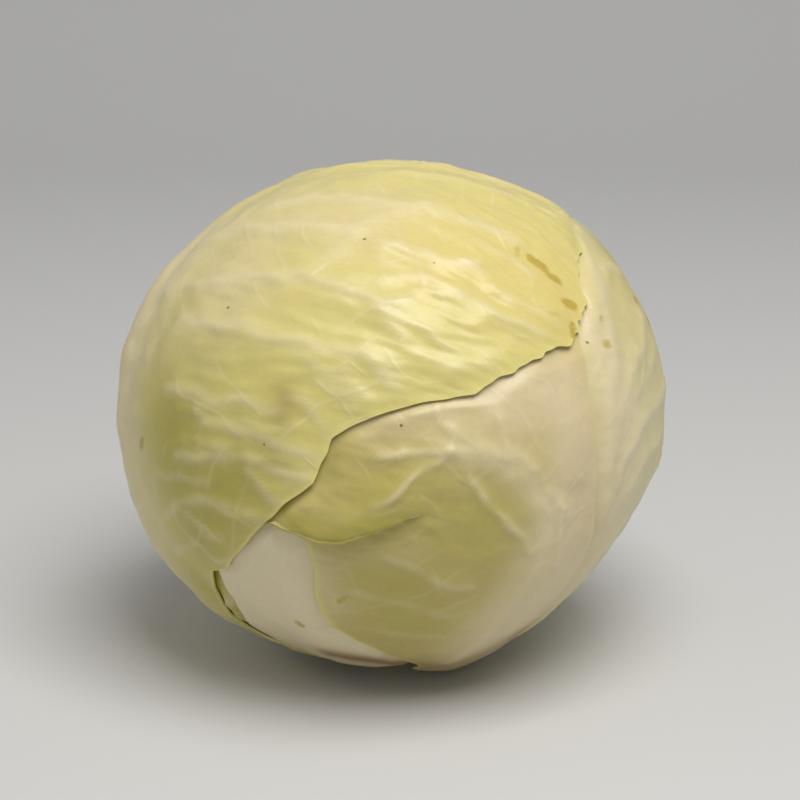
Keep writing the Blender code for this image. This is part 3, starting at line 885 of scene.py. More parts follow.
def side_rib_profile(tree, given, x, y):
    reach = calc(tree, "ABSOLUTE", x)
    spread = calc(tree, "MULTIPLY_ADD", given["Rib Fan"], reach, 1.0)
    ahead = calc(tree, "GREATER_THAN", y, 0.0)
    fanned = calc(tree, "MULTIPLY", calc(tree, "DIVIDE", y, spread), ahead)
    straight = calc(tree, "MULTIPLY", y, calc(tree, "SUBTRACT", 1.0, ahead))
    line = calc(tree, "ADD", fanned, straight)
    half_gap = calc(tree, "MULTIPLY", given["Rib Gap"], 0.5)
    shift = calc(tree, "MULTIPLY", calc(tree, "LESS_THAN", x, 0.0), half_gap)
    off = off_line(tree, calc(tree, "ADD", line, shift), given["Rib Gap"])
    far = calc(tree, "EXPONENT", calc(tree, "DIVIDE", reach, -RIB_FADE))
    fade = calc(tree, "MULTIPLY", far, ramp(tree, reach, 0.0, RIB_START))
    side = calc(tree, "MULTIPLY", bell(tree, off, given["Rib Width"]), fade)
    return calc(tree, "MULTIPLY", side, read(tree, "free"))


print("ribs start", RIB_START, "mm from the midrib")

# %% [markdown]
# ## Puckers and crinkles
#
# Between its ribs a leaf is soft: broad puckers, and on the dry outer leaves small creases that
# run along the side ribs. Both come from noise, which is random but has a fixed seed, so every
# run gives the same leaf. A crease is where the noise crosses its middle value.

# %% Puckers and crinkles
PUCKER_LOW = 0.3
PUCKER_HIGH = 0.72
PUCKER_DETAIL = 2.0
PUCKER_ROUGHNESS = 0.4
CRINKLE_STRETCH = 4.0
CRINKLE_DETAIL = 1.0
CRINKLE_FLANK = 0.16
CRINKLE_START = 12.0
CRINKLE_FULL = 60.0
NOISE_MIDDLE = 0.5


def pucker(tree, given, x, y):
    place = put(tree, "ShaderNodeCombineXYZ", {"X": x, "Y": y, "Z": given["Seed"]})
    size = calc(tree, "DIVIDE", 1.0, given["Pucker Size"])
    noise = put(tree, "ShaderNodeTexNoise", {
        "Vector": place.outputs[0], "Scale": size, "Detail": PUCKER_DETAIL,
        "Roughness": PUCKER_ROUGHNESS,
    })
    swell = ramp(tree, noise.outputs["Fac"], PUCKER_LOW, PUCKER_HIGH)
    return calc(tree, "MULTIPLY", swell, given["Pucker Height"])


def crinkle(tree, given, x, y):
    """Small creases that run along the side ribs, stronger away from the midrib."""
    drawn_out = calc(tree, "DIVIDE", x, CRINKLE_STRETCH)
    place = put(tree, "ShaderNodeCombineXYZ", {"X": drawn_out, "Y": y, "Z": given["Seed"]})
    size = calc(tree, "DIVIDE", 1.0, given["Crinkle Size"])
    noise = put(tree, "ShaderNodeTexNoise", {
        "Vector": place.outputs[0], "Scale": size, "Detail": CRINKLE_DETAIL,
    })
    away = calc(tree, "ABSOLUTE", calc(tree, "SUBTRACT", noise.outputs["Fac"], NOISE_MIDDLE))
    crest = calc(tree, "SUBTRACT", 1.0, ramp(tree, away, 0.0, CRINKLE_FLANK))
    strong = ramp(tree, calc(tree, "ABSOLUTE", x), CRINKLE_START, CRINKLE_FULL)
    return calc(tree, "MULTIPLY", crest, calc(tree, "MULTIPLY", given["Crinkle Height"], strong))


print("crinkles are", CRINKLE_STRETCH, "times as long as wide")

# %% [markdown]
# ## Lifting the points
#
# The heights are added up and each point is moved straight away from the middle of the head. A
# point with little room under it is lifted less: height times room, divided by their sum, is close
# to the height where there is room and can never be more than the room. Last, the tree stores
# where ribs are for the skin, realizes instances and sets the material, which the export needs.

# %% The rib tree
PUCKER_LEVEL = 0.35
LEAST_ROOM = 1e-6


def rib_height(tree, given, x, y, midrib, side):
    """The lift in millimetres, squeezed where the floor is near."""
    small = calc(tree, "SUBTRACT", crinkle(tree, given, x, y), PUCKER_LEVEL)
    soft = calc(tree, "ADD", pucker(tree, given, x, y), small)
    height = calc(tree, "MULTIPLY", midrib, given["Midrib Height"])
    height = calc(tree, "ADD", height, calc(tree, "MULTIPLY", side, given["Rib Height"]))
    height = calc(tree, "ADD", calc(tree, "ADD", height, soft), read(tree, "crease"))
    height = calc(tree, "MULTIPLY", height, read(tree, "show"))
    room = read(tree, "room")
    total = calc(tree, "ADD", calc(tree, "MAXIMUM", height, 0.0), room)
    total = calc(tree, "ADD", total, LEAST_ROOM)
    return calc(tree, "DIVIDE", calc(tree, "MULTIPLY", height, room), total)


def outward_offset(tree, height):
    position = put(tree, "GeometryNodeInputPosition").outputs[0]
    middle = (0, 0, CENTRE_HEIGHT * MM)
    away = put(tree, "ShaderNodeVectorMath", {0: position, 1: middle}, operation="SUBTRACT")
    straight = put(tree, "ShaderNodeVectorMath", {0: away.outputs[0]}, operation="NORMALIZE")
    scale = {0: straight.outputs[0], "Scale": calc(tree, "MULTIPLY", height, MM)}
    return put(tree, "ShaderNodeVectorMath", scale, operation="SCALE").outputs[0]


def rib_tree():
    tree = bpy.data.node_groups.new("leaf ribs", "GeometryNodeTree")
    inputs = {"Sheet": ("NodeSocketGeometry", None), **RIB_INPUTS}
    new_sockets(tree, inputs, {"Leaf": "NodeSocketGeometry"})
    given = tree.nodes.new("NodeGroupInput").outputs
    x, y = read(tree, "across"), read(tree, "along")
    midrib = midrib_profile(tree, given, x, y)
    side = side_rib_profile(tree, given, x, y)
    offset = outward_offset(tree, rib_height(tree, given, x, y, midrib, side))
    moved = put(tree, "GeometryNodeSetPosition", {"Geometry": given["Sheet"], "Offset": offset})
    mask = calc(tree, "MAXIMUM", calc(tree, "MAXIMUM", midrib, side), read(tree, "vein"))
    kept = put(
        tree, "GeometryNodeStoreNamedAttribute",
        {"Geometry": moved.outputs[0], "Name": "rib", "Value": mask},
        data_type="FLOAT", domain="POINT",
    )
    real = put(tree, "GeometryNodeRealizeInstances", {"Geometry": kept.outputs[0]})
    finish = {"Geometry": real.outputs[0], "Material": given["Material"]}
    dressed = put(tree, "GeometryNodeSetMaterial", finish)
    put(tree, "NodeGroupOutput", {"Leaf": dressed.outputs[0]})
    return tree


LEAF_RIBS = rib_tree()
print("rib tree:", len(LEAF_RIBS.nodes), "nodes")

# %% [markdown]
# ## From modifiers to a plain mesh
#
# A tree works as a modifier. Its inputs are set by the sockets' identifiers before Blender first
# works the object out. What comes out is then kept as a plain mesh and the modifiers go.

# %% Using the tree on a sheet
def apply_tree(made, tree, values):
    """Runs a Geometry Nodes tree on an object with these inputs, and keeps the plain mesh."""
    modifier = made.modifiers.new(tree.name, "NODES")
    modifier.node_group = tree
    for item in tree.interface.items_tree:
        if item.in_out == "INPUT" and item.name in values:
            modifier[item.identifier] = values[item.name]
    keep_result(made)


def keep_result(made):
    """Swaps an object's mesh for what its modifiers make of it, and removes them."""
    seen = made.evaluated_get(bpy.context.evaluated_depsgraph_get())
    mesh = bpy.data.meshes.new_from_object(seen)
    made.modifiers.clear()
    made.data = mesh
    mesh.name = made.name


print("ready to run", LEAF_RIBS.name, "on a sheet")

# %% [markdown]
# ## The skin of a leaf
#
# Cabbage skin is smooth and a little waxy, and light passes some way into it. Its ribs are pale
# cream, the blade between them runs from cream to yellow green, and a fine net of veins shows
# everywhere. Photographs could be wrapped round the leaves, but patterns made from nodes stay
# sharp at any distance and need no files.
#
# Three effects are shared by all the leaves, so each is a node group that is built once: the fine
# veins, the cloudy mottling of the colour, and a few dark specks. They use the leaf's own pattern
# as coordinates, so that they bend with it.
#
# The fine veins are two sets of slanting lines that cross. Noise bends them, and more noise hides
# most of each line, so that what is left reads as a broken net.

# %% The fine veins
FINE_VEIN_SLANTS = ((0.55, 3.0), (-0.75, 8.0))
BEND_SCALE = 30.0
BEND_DETAIL = 2.0
BEND_REACH = 0.02
HIDE_SCALE = 45.0
HIDE_DETAIL = 1.0
HIDE_CONTRAST = 5.0
HIDE_LEVEL = -2.3


def shader_group(name, inputs, outputs):
    group = bpy.data.node_groups.new(name, "ShaderNodeTree")
    new_sockets(group, inputs, outputs)
    return group, group.nodes.new("NodeGroupInput").outputs


def vector_sum(tree, operation, inputs):
    return put(tree, "ShaderNodeVectorMath", inputs, operation=operation)


def clamp(tree, value):
    return put(tree, "ShaderNodeClamp", {"Value": value}).outputs[0]


def vein_group():
    group, given = shader_group(
        "fine veins",
        {
            "Vector": ("NodeSocketVector", None),
            "Gap": ("NodeSocketFloat", 0.011),
            "Line": ("NodeSocketFloat", 0.0007),
        },
        {"Mask": "NodeSocketFloat"},
    )
    bend = {"Vector": given["Vector"], "Scale": BEND_SCALE, "Detail": BEND_DETAIL}
    bent = put(group, "ShaderNodeTexNoise", bend).outputs["Color"]
    shift = vector_sum(group, "SCALE", {0: bent, "Scale": BEND_REACH}).outputs[0]
    place = vector_sum(group, "ADD", {0: given["Vector"], 1: shift}).outputs[0]
    masks = []
    for slant, seed in FINE_VEIN_SLANTS:
        aim_at = (slant, 1 - abs(slant) / 2, 0)
        across = vector_sum(group, "DOT_PRODUCT", {0: place, 1: aim_at}).outputs["Value"]
        line = bell(group, off_line(group, across, given["Gap"]), given["Line"])
        moved = vector_sum(group, "ADD", {0: given["Vector"], 1: (seed, seed, 0)}).outputs[0]
        hide = {"Vector": moved, "Scale": HIDE_SCALE, "Detail": HIDE_DETAIL}
        here = put(group, "ShaderNodeTexNoise", hide).outputs["Fac"]
        shown = clamp(group, calc(group, "MULTIPLY_ADD", here, HIDE_CONTRAST, HIDE_LEVEL))
        masks.append(calc(group, "MULTIPLY", line, shown))
    put(group, "NodeGroupOutput", {"Mask": calc(group, "MAXIMUM", *masks)})
    return group


FINE_VEINS = vein_group()
print(FINE_VEINS.name, "group:", len(FINE_VEINS.nodes), "nodes")

# %% [markdown]
# ## Mottling and specks
#
# Two noises drive the colour: a slow one whose clouds are a few centimetres wide, and a fine one
# for the grain of the skin. The specks are round dots in the cells of a flat Voronoi texture, and
# only the cells that draw a high number get one.

# %% The mottling and the specks
CLOUD_DETAIL = 4.0
CLOUD_ROUGHNESS = 0.55
GRAIN_SHARE = 14.0
GRAIN_DETAIL = 2.0
SPECK_CHANCE = 0.72
SPECK_GROWTH = 3.5
SPECK_EDGE = 90.0


def mottle_group():
    group, given = shader_group(
        "mottling",
        {"Vector": ("NodeSocketVector", None), "Size": ("NodeSocketFloat", 35.0)},
        {"Cloud": "NodeSocketFloat", "Grain": "NodeSocketFloat"},
    )
    cloud = put(group, "ShaderNodeTexNoise", {
        "Vector": given["Vector"], "Scale": given["Size"], "Detail": CLOUD_DETAIL,
        "Roughness": CLOUD_ROUGHNESS,
    })
    grain = put(group, "ShaderNodeTexNoise", {
        "Vector": given["Vector"], "Scale": calc(group, "MULTIPLY", given["Size"], GRAIN_SHARE),
        "Detail": GRAIN_DETAIL,
    })
    put(group, "NodeGroupOutput", {"Cloud": cloud.outputs["Fac"], "Grain": grain.outputs["Fac"]})
    return group


def speck_group():
    group, given = shader_group(
        "specks",
        {
            "Vector": ("NodeSocketVector", None),
            "Cells": ("NodeSocketFloat", 38.0),
            "Size": ("NodeSocketFloat", 0.0007),
        },
        {"Mask": "NodeSocketFloat"},
    )
    cells = {"Vector": given["Vector"], "Scale": given["Cells"]}
    spots = put(group, "ShaderNodeTexVoronoi", cells, voronoi_dimensions="2D")
    chance = put(group, "ShaderNodeSeparateColor", {"Color": spots.outputs["Color"]}).outputs[0]
    kept = calc(group, "MULTIPLY", calc(group, "SUBTRACT", chance, SPECK_CHANCE), SPECK_GROWTH)
    size = calc(group, "MULTIPLY", given["Size"], given["Cells"])
    radius = calc(group, "MULTIPLY", size, kept)
    inner = calc(group, "SUBTRACT", radius, spots.outputs["Distance"])
    mask = clamp(group, calc(group, "MULTIPLY", inner, SPECK_EDGE))
    put(group, "NodeGroupOutput", {"Mask": mask})
    return group


MOTTLING = mottle_group()
SPECKS = speck_group()
print(MOTTLING.name, "and", SPECKS.name, "groups made")

# %% [markdown]
# ## Layers of colour
#
# The material lays colour over colour, as a painter glazes: the blade, then green, warm and pale
# patches, then cream on the ribs and the fine veins, the coloured rim, the grain, and last what
# is brown, stained or a speck. Each layer is a Mix node whose share comes from a stored value.

# %% Colours and mixing
CREAM = (0.80, 0.68, 0.44)
GREEN = (0.43, 0.378, 0.055)
WARM = (0.76, 0.57, 0.19)
BLUSH = (0.72, 0.58, 0.37)
BROWN = (0.30, 0.18, 0.07)
STAIN = (0.45, 0.33, 0.035)
SPECK = (0.16, 0.09, 0.03)


def mix(tree, share, first, second, blend="MIX"):
    node = put(tree, "ShaderNodeMix", data_type="RGBA", blend_type=blend)
    colours = [socket for socket in node.inputs if socket.type == "RGBA"]
    for socket, value in ((node.inputs[0], share), (colours[0], first), (colours[1], second)):
        if isinstance(value, bpy.types.NodeSocket):
            tree.links.new(value, socket)
        else:
            socket.default_value = (*value, 1) if isinstance(value, tuple) else value
    return [socket for socket in node.outputs if socket.type == "RGBA"][0]


def attribute(tree, name):
    return put(tree, "ShaderNodeAttribute", attribute_name=name).outputs["Fac"]


def mask_share(tree, mask, share):
    return calc(tree, "MULTIPLY", mask, share)


def place_group(tree, group, inputs):
    return put(tree, "ShaderNodeGroup", inputs, node_tree=group).outputs


print("stain colour:", STAIN, "speck colour:", SPECK)

# %% [markdown]
# ## The painted layers
#
# Green patches drift a little with the clouds, so that they have no clean outline. Stains get
# ragged edges from the grain, by adding it to their strength before they are cut off.

# %% Blade, ribs and marks
GREEN_DRIFT = 0.4
GREEN_DRIFT_LEVEL = -0.2
RIM_SHARE = 0.8
GRAIN_SHADE = 0.1
GRAIN_SHADE_LEVEL = 0.95
STAIN_RAGGED = 0.5
STAIN_CONTRAST = 4.0
STAIN_LEVEL = -3.4
STAIN_SHARE = 0.8
SPECK_SHARE = 0.85


def blade_colour(tree, cloud, net, blade, cream, rim, rib_share, vein_share):
    """The colour of a sound leaf: blade, patches, ribs, fine veins and rim."""
    drift = calc(tree, "MULTIPLY_ADD", cloud["Cloud"], GREEN_DRIFT, GREEN_DRIFT_LEVEL)
    green = clamp(tree, calc(tree, "ADD", attribute(tree, "green"), drift))
    colour = mix(tree, green, blade, GREEN)
    colour = mix(tree, attribute(tree, "warm"), colour, WARM)
    colour = mix(tree, attribute(tree, "blush"), colour, BLUSH)
    colour = mix(tree, attribute(tree, "pale"), colour, cream)
    colour = mix(tree, mask_share(tree, attribute(tree, "rib"), rib_share), colour, cream)
    colour = mix(tree, mask_share(tree, net, vein_share), colour, cream)
    return mix(tree, mask_share(tree, attribute(tree, "edge"), RIM_SHARE), colour, rim)


def marked_colour(tree, cloud, pattern, colour):
    """That colour with the skin's grain, brown places, stains and specks."""
    shade = calc(tree, "MULTIPLY_ADD", cloud["Grain"], GRAIN_SHADE, GRAIN_SHADE_LEVEL)
    channels = {"Red": shade, "Green": shade, "Blue": shade}
    grey = put(tree, "ShaderNodeCombineColor", channels).outputs[0]
    colour = mix(tree, 1.0, colour, grey, "MULTIPLY")
    colour = mix(tree, attribute(tree, "brown"), colour, BROWN)
    ragged = calc(tree, "MULTIPLY_ADD", cloud["Grain"], STAIN_RAGGED, attribute(tree, "stain"))
    spot = clamp(tree, calc(tree, "MULTIPLY_ADD", ragged, STAIN_CONTRAST, STAIN_LEVEL))
    colour = mix(tree, mask_share(tree, spot, STAIN_SHARE), colour, STAIN)
    dots = place_group(tree, SPECKS, {"Vector": pattern})["Mask"]
    return mix(tree, mask_share(tree, dots, SPECK_SHARE), colour, SPECK)


print("stains cover up to", round(100 * STAIN_SHARE), "% of the colour under them")

# %% [markdown]
# ## Wax and light in the leaf
#
# The wax makes a soft, broken gloss: the roughness follows the clouds. Fine veins and grain raise
# the skin a little through a Bump node. Light that passes into the leaf and out again is
# subsurface scattering: red travels furthest in the leaf and blue least.

# %% The leaf material
GLOSS = 0.27
GLOSS_CHANGE = 0.15
VEIN_BUMP = 0.5
GRAIN_BUMP = 0.35
BUMP_STRENGTH = 0.25
BUMP_DISTANCE = 0.0006
SPECULAR = 0.45
SCATTER = 0.15
SCATTER_COLOUR = (1.0, 0.7, 0.25)
SCATTER_DEPTH = 0.004


def leaf_material(name, blade, cream=CREAM, rim=CREAM, rib_share=0.5, vein_share=0.26):
    made = bpy.data.materials.new(name)
    made.use_nodes = True
    tree = made.node_tree
    shader = tree.nodes["Principled BSDF"]
    pattern = put(tree, "ShaderNodeUVMap", uv_map="pattern").outputs[0]
    cloud = place_group(tree, MOTTLING, {"Vector": pattern})
    net = place_group(tree, FINE_VEINS, {"Vector": pattern})["Mask"]
    colour = blade_colour(tree, cloud, net, blade, cream, rim, rib_share, vein_share)
    colour = marked_colour(tree, cloud, pattern, colour)
    tree.links.new(colour, shader.inputs["Base Color"])
    rough = calc(tree, "MULTIPLY_ADD", cloud["Cloud"], GLOSS_CHANGE, GLOSS)
    tree.links.new(rough, shader.inputs["Roughness"])
    grain = calc(tree, "MULTIPLY", cloud["Grain"], GRAIN_BUMP)
    height = calc(tree, "MULTIPLY_ADD", net, VEIN_BUMP, grain)
    relief = {"Height": height, "Strength": BUMP_STRENGTH, "Distance": BUMP_DISTANCE}
    tree.links.new(put(tree, "ShaderNodeBump", relief).outputs[0], shader.inputs["Normal"])
    shader.inputs["Specular IOR Level"].default_value = SPECULAR
    shader.inputs["Subsurface Weight"].default_value = SCATTER
    shader.inputs["Subsurface Radius"].default_value = SCATTER_COLOUR
    shader.inputs["Subsurface Scale"].default_value = SCATTER_DEPTH
    return made


LEAF_RIM = (0.72, 0.66, 0.22)
MATERIALS = {
    "cover": leaf_material("cover leaf skin", (0.69, 0.59, 0.21), rim=LEAF_RIM, rib_share=0.45),
    "front": leaf_material(
        "front leaf skin", (0.54, 0.442, 0.15), rim=LEAF_RIM, rib_share=0.55, vein_share=0.15,
    ),
    "right": leaf_material("right leaf skin", (0.68, 0.60, 0.31)),
    "back": leaf_material("back leaf skin", (0.60, 0.54, 0.20)),
    "low_front": leaf_material("white leaf base", (0.76, 0.69, 0.44)),
    "low_left": leaf_material("green leaf skin", (0.46, 0.46, 0.12)),
    "inner": leaf_material("packed leaf skin", (0.74, 0.68, 0.42)),
}
print("materials:", len(MATERIALS))

# %% [markdown]
# ## Making the leaves
#
# Each sheet gets its ribs from the tree and its thickness from a Solidify modifier, which also
# closes the edge. The result is kept as a plain mesh in metres, standing at the origin, and takes
# the place of the plain CAD leaf. The table gives each leaf its piece, node, slot, skin and grid
# step in millimetres; leaves with fine creases get a fine grid.

# %% The wrapper leaves
PIECES = (
    ("low_left_leaf", "leaf_low_left", "green_leaf", "low_left", 1.5),
    ("low_front_leaf", "leaf_low_front", "white_leaf", "low_front", 1.4),
    ("right_leaf", "leaf_right", "right_leaf", "right", 1.5),
    ("front_leaf", "leaf_front", "front_leaf", "front", 0.85),
    ("cover_leaf", "leaf_cover", "cover_leaf", "cover", 1.35),
    ("back_leaf", "leaf_back", "back_leaf", "back", 1.8),
)
SHARP_ANGLE = np.radians(50)


def make_leaf(level):
    name, node, slot, skin, step = PIECES[level]
    leaf = LEAVES[level]
    points, values, shape = sheet_points(level, step)
    made = mesh_object(name, points, outward(points, quad_faces(*shape)), values)
    sizes = {
        "Leaf Start": float(leaf.left[0, 0]), "Leaf Tip": float(leaf.left[-1, 0]),
        "Seed": float(SEED + level), "Material": MATERIALS[skin], **leaf.ribs,
    }
    apply_tree(made, LEAF_RIBS, sizes)
    solidify = made.modifiers.new("thickness", "SOLIDIFY")
    solidify.thickness = SHEET * MM
    solidify.offset = -1
    keep_result(made)
    made.data.shade_smooth()
    made.data.set_sharp_from_angle(angle=SHARP_ANGLE)
    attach(made, "root")
    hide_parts(node)
    print(name, len(made.data.polygons), "faces")
    return made


leaves = [make_leaf(level) for level in range(len(LEAVES))]
print(len(leaves), "leaves,", sum(len(made.data.polygons) for made in leaves), "faces in all")

# %% [markdown]
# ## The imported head
#
# Under the wrapper leaves the head is a solid ball of leaves. Only slivers of it can be seen, so
# one closed ball with the raised edges of its outermost leaves is enough. It starts as an
# icosphere, whose triangles are nearly alike all round, and each point is moved to its radius.

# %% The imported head
PACKED_SUBDIVISIONS = 6
PACKED_EDGE_RAMP = 3.0


def make_packed_head():
    bm = bmesh.new()
    bmesh.ops.create_icosphere(bm, subdivisions=PACKED_SUBDIVISIONS, radius=1)
    directions = np.array([vertex.co for vertex in bm.verts])
    faces = np.array([[vertex.index for vertex in face.verts] for face in bm.faces])
    bm.free()
    directions /= np.linalg.norm(directions, axis=1)[:, None]
    radius = core_radius(directions)
    for leaf in INNER_LEAVES:
        radius += INNER_EDGE * smooth_step(leaf.inside(directions) / PACKED_EDGE_RAMP + 1)
    points = directions * radius[:, None]
    points[:, 2] += CENTRE_HEIGHT
    x, y = LEAVES[1].flat(directions)
    values = {"across": x, "along": y, "rib": np.zeros(len(x)), "edge": np.zeros(len(x))}
    values.update({channel: np.zeros(len(x)) for channel in CHANNELS})
    made = mesh_object("packed_head", points, outward(points, faces), values)
    made.data.materials.append(MATERIALS["inner"])
    made.data.shade_smooth()
    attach(made, "root")
    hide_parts("inner_head")
    return made


packed_head = make_packed_head()
print("packed_head", len(packed_head.data.polygons), "faces")

# %% [markdown]
# ## The cut stalk
#
# The stalk is a turned piece: rings of points round an axis, from the middle of the rough cut
# face, over its rim and up inside the head to a point. A Screw modifier would turn such a profile
# too, but with the points in hand, each ring can be made a little uneven.

# %% The rings of the stalk
STALK_REACH = 78.5
STALK_PROFILE = (
    (0.0, -1.6), (3.0, -1.5), (6.0, -1.1), (9.0, -0.7), (11.5, -0.35), (13.0, -0.1), (13.9, -0.3),
    (14.5, -1.0), (14.8, -2.2), (15.1, -4.5), (15.5, -8.0), (14.5, -14.0), (13.0, -22.0),
    (11.0, -38.0), (8.0, -54.0), (3.0, -62.0), (0.0, -64.0),
)
STALK_SIDES = 96
STALK_OUT_OF_ROUND = 0.035
STALK_BUMPS = 14.0
STALK_SEED = 3
ROUND_WITHIN = 8
FACE_ROUGHNESS = 0.25
FACE_BUMPS = 9.0
FACE_SEED = 1
FACE_CALM_WITHIN = 2


def stalk_points():
    profile = np.array(STALK_PROFILE)
    across, deep = profile[:, 0:1], profile[:, 1:2]
    turn = np.linspace(0, 2 * np.pi, STALK_SIDES, endpoint=False)
    side = np.cross(STALK, (0.0, 1.0, 0.0))
    side /= np.linalg.norm(side)
    other = np.cross(STALK, side)
    around = np.cos(turn)[:, None] * side + np.sin(turn)[:, None] * other
    uneven = STALK_OUT_OF_ROUND * wave(turn * STALK_BUMPS, STALK_SEED) * (across > ROUND_WITHIN)
    radius = across * (1 + uneven)
    bumps = wave(turn * FACE_BUMPS + across, FACE_SEED)
    rough = FACE_ROUGHNESS * bumps * (across > FACE_CALM_WITHIN)
    height = STALK_REACH + deep + rough
    points = radius[:, :, None] * around[None] + height[:, :, None] * STALK
    return points.reshape(-1, 3) + (0, 0, CENTRE_HEIGHT)


print("the stalk's rim is", 2 * max(row[0] for row in STALK_PROFILE), "mm across")

# %% [markdown]
# ## Closing the stalk
#
# The rings become a grid of faces that closes on itself. At both ends a whole ring shrinks to one
# place, so its points are merged, and the normals are worked out again afterwards.

# %% The stalk's mesh
STALK_MERGE = 0.02


def make_stalk():
    rings = len(STALK_PROFILE)
    corner = np.arange(rings * STALK_SIDES).reshape(rings, STALK_SIDES)
    after = np.roll(corner, -1, axis=1)
    faces = np.stack([corner[:-1], corner[1:], after[1:], after[:-1]], axis=-1).reshape(-1, 4)
    bm = bmesh.new()
    verts = [bm.verts.new(point * MM) for point in stalk_points()]
    for face in faces:
        bm.faces.new([verts[k] for k in face])
    bmesh.ops.remove_doubles(bm, verts=bm.verts[:], dist=STALK_MERGE * MM)
    bmesh.ops.recalc_face_normals(bm, faces=bm.faces[:])
    mesh = bpy.data.meshes.new("cut_stalk")
    bm.to_mesh(mesh)
    bm.free()
    mesh.shade_smooth()
    made = bpy.data.objects.new("cut_stalk", mesh)
    bpy.context.scene.collection.objects.link(made)
    return made


cut_stalk = make_stalk()
print("cut_stalk", len(cut_stalk.data.polygons), "faces")

# %% [markdown]
# ## A dry cut
#
# A cut stalk browns within days, in patches, and its fibres stand up. Two noises on object
# coordinates do both: a coarse one mixes brown and straw, and a fine one darkens and lifts the
# fibres.

# %% The dry stalk
DRY_BROWN = (0.30, 0.19, 0.07)
STRAW = (0.62, 0.50, 0.26)
FIBRE = (0.42, 0.29, 0.12)
FIBRE_SIZE = {"Scale": 420.0, "Detail": 5.0, "Roughness": 0.7}
PATCH_SIZE = {"Scale": 90.0, "Detail": 3.0}
FIBRE_RELIEF = {"Strength": 0.8, "Distance": 0.0008}
STALK_ROUGHNESS = 0.75


def stalk_material():
    made = bpy.data.materials.new("cut stalk")
    made.use_nodes = True
    tree = made.node_tree
    shader = tree.nodes["Principled BSDF"]
    place = put(tree, "ShaderNodeTexCoord").outputs["Object"]
    fibre = put(tree, "ShaderNodeTexNoise", {"Vector": place, **FIBRE_SIZE}).outputs["Fac"]
    patch = put(tree, "ShaderNodeTexNoise", {"Vector": place, **PATCH_SIZE}).outputs["Fac"]
    colour = mix(tree, fibre, mix(tree, patch, DRY_BROWN, STRAW), FIBRE)
    tree.links.new(colour, shader.inputs["Base Color"])
    bump = put(tree, "ShaderNodeBump", {"Height": fibre, **FIBRE_RELIEF})
    tree.links.new(bump.outputs[0], shader.inputs["Normal"])
    shader.inputs["Roughness"].default_value = STALK_ROUGHNESS
    return made


cut_stalk.data.materials.append(stalk_material())
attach(cut_stalk, "root")
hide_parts("stalk")
print("stalk dressed in", cut_stalk.data.materials[0].name)

# %% [markdown]
# ## The pale sweep
#
# The head lies on a pale sheet that sweeps up behind it, so that there is no line between floor
# and wall. Seen from the side the sheet is a straight, a quarter circle and another straight,
# drawn out to both sides.

# %% The pale sweep
SWEEP_FRONT = -1.6
SWEEP_BACK = 0.7
SWEEP_BEND = 0.5
SWEEP_TOP = 1.8
SWEEP_HALF = 2.2
SWEEP_STEPS = 17
PAPER = (0.62, 0.62, 0.615, 1)
PAPER_ROUGHNESS = 0.9


def make_sweep():
    bend = np.linspace(0, np.pi / 2, SWEEP_STEPS)
    line = [(SWEEP_FRONT, 0.0)]
    line += [(SWEEP_BACK + SWEEP_BEND * np.sin(a), SWEEP_BEND * (1 - np.cos(a))) for a in bend]
    line.append((SWEEP_BACK + SWEEP_BEND, SWEEP_TOP))
    points = [(side * SWEEP_HALF, y, z) for y, z in line for side in (-1, 1)]
    faces = [(2 * k, 2 * k + 1, 2 * k + 3, 2 * k + 2) for k in range(len(line) - 1)]
    mesh = bpy.data.meshes.new("sweep")
    mesh.from_pydata(points, [], faces)
    mesh.shade_smooth()
    made = bpy.data.objects.new("sweep", mesh)
    bpy.context.scene.collection.objects.link(made)
    paper = bpy.data.materials.new("paper")
    paper.use_nodes = True
    shader = paper.node_tree.nodes["Principled BSDF"]
    shader.inputs["Base Color"].default_value = PAPER
    shader.inputs["Roughness"].default_value = PAPER_ROUGHNESS
    mesh.materials.append(paper)
    return made


sweep = make_sweep()
print("sweep:", len(sweep.data.polygons), "faces")

# %% [markdown]
# ## Soft light
#
# One large soft light stands above and in front, as for a packshot, and a second, much weaker one
# on the left lifts that side of the head. The world fills the shadows with plain white. The
# Standard view keeps the colours as they were chosen.

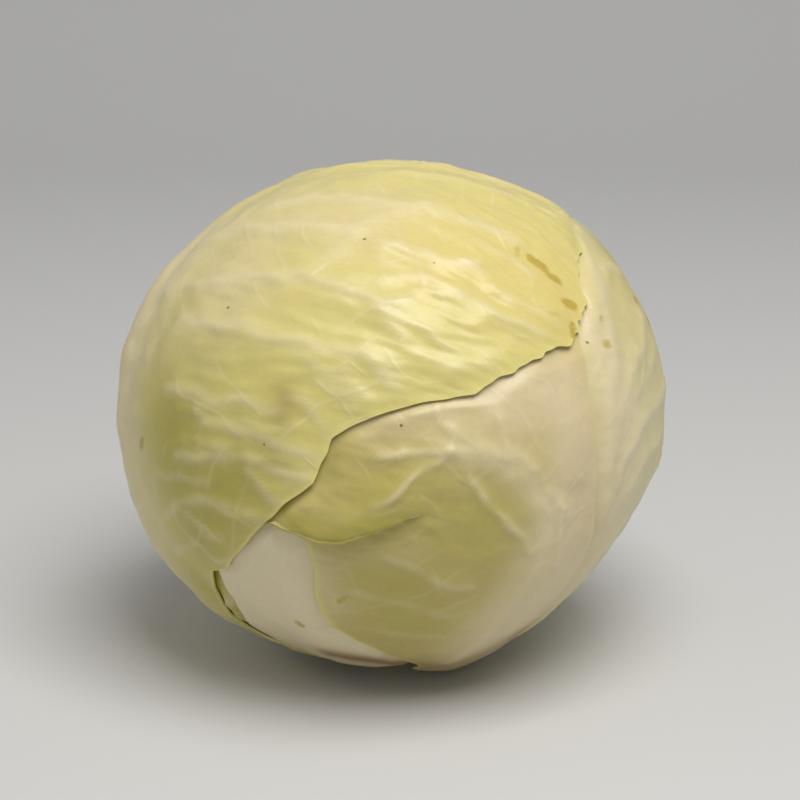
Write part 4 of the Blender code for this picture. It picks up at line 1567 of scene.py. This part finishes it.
# %% Light
KEY_PLACE = (0.22, -0.42, 1.1)
KEY_SIZE = 0.75
KEY_POWER = 12.0
FILL = 0.28
SIDE_PLACE = (-0.95, 0.15, 0.55)
SIDE_SIZE = 0.8
SIDE_POWER = 0.9
KEY_COLOUR = (1.0, 0.985, 0.96)
SIDE_COLOUR = (1.0, 0.99, 0.98)
WORLD_WHITE = (1.0, 1.0, 1.0, 1)


def aim(made, target):
    """Turns a light or camera to look at a point."""
    away = Vector(made.location) - Vector(target)
    made.rotation_euler = away.to_track_quat("Z", "Y").to_euler()


def soft_light(name, place, size, power, colour):
    made = bpy.data.objects.new(name, bpy.data.lights.new(name, "AREA"))
    made.data.size = size
    made.data.energy = power
    made.data.color = colour
    made.location = place
    aim(made, (0, 0, CENTRE_HEIGHT * MM))
    bpy.context.scene.collection.objects.link(made)


soft_light("key", KEY_PLACE, KEY_SIZE, KEY_POWER, KEY_COLOUR)
soft_light("side", SIDE_PLACE, SIDE_SIZE, SIDE_POWER, SIDE_COLOUR)
world = bpy.data.worlds.new("studio")
world.use_nodes = True
world.node_tree.nodes["Background"].inputs["Color"].default_value = WORLD_WHITE
world.node_tree.nodes["Background"].inputs["Strength"].default_value = FILL
bpy.context.scene.world = world
bpy.context.scene.view_settings.view_transform = "Standard"
print("lights:", KEY_POWER, "W above and", SIDE_POWER, "W from the left")

# %% [markdown]
# ## Camera
#
# A long lens from almost a metre away keeps the round of the head undistorted. The camera looks
# down a little, and its target sits slightly right of and above the middle of the head.

# %% Camera
CAMERA_DISTANCE = 0.884
CAMERA_TILT = np.radians(18)
LENS = 120.0
SENSOR_WIDTH = 36.0
CAMERA_RIGHT = 2.8 * MM
CAMERA_UP = 4.6 * MM

back = np.array([0, -np.cos(CAMERA_TILT), np.sin(CAMERA_TILT)])
up = np.array([0, np.sin(CAMERA_TILT), np.cos(CAMERA_TILT)])
target = np.array([CAMERA_RIGHT, 0, CENTRE_HEIGHT * MM]) + CAMERA_UP * up
camera = bpy.data.objects.new("camera", bpy.data.cameras.new("camera"))
camera.data.lens = LENS
camera.data.sensor_width = SENSOR_WIDTH
camera.location = target + CAMERA_DISTANCE * back
aim(camera, target)
bpy.context.scene.collection.objects.link(camera)
bpy.context.scene.camera = camera
print("camera at", [round(value, 3) for value in camera.location])
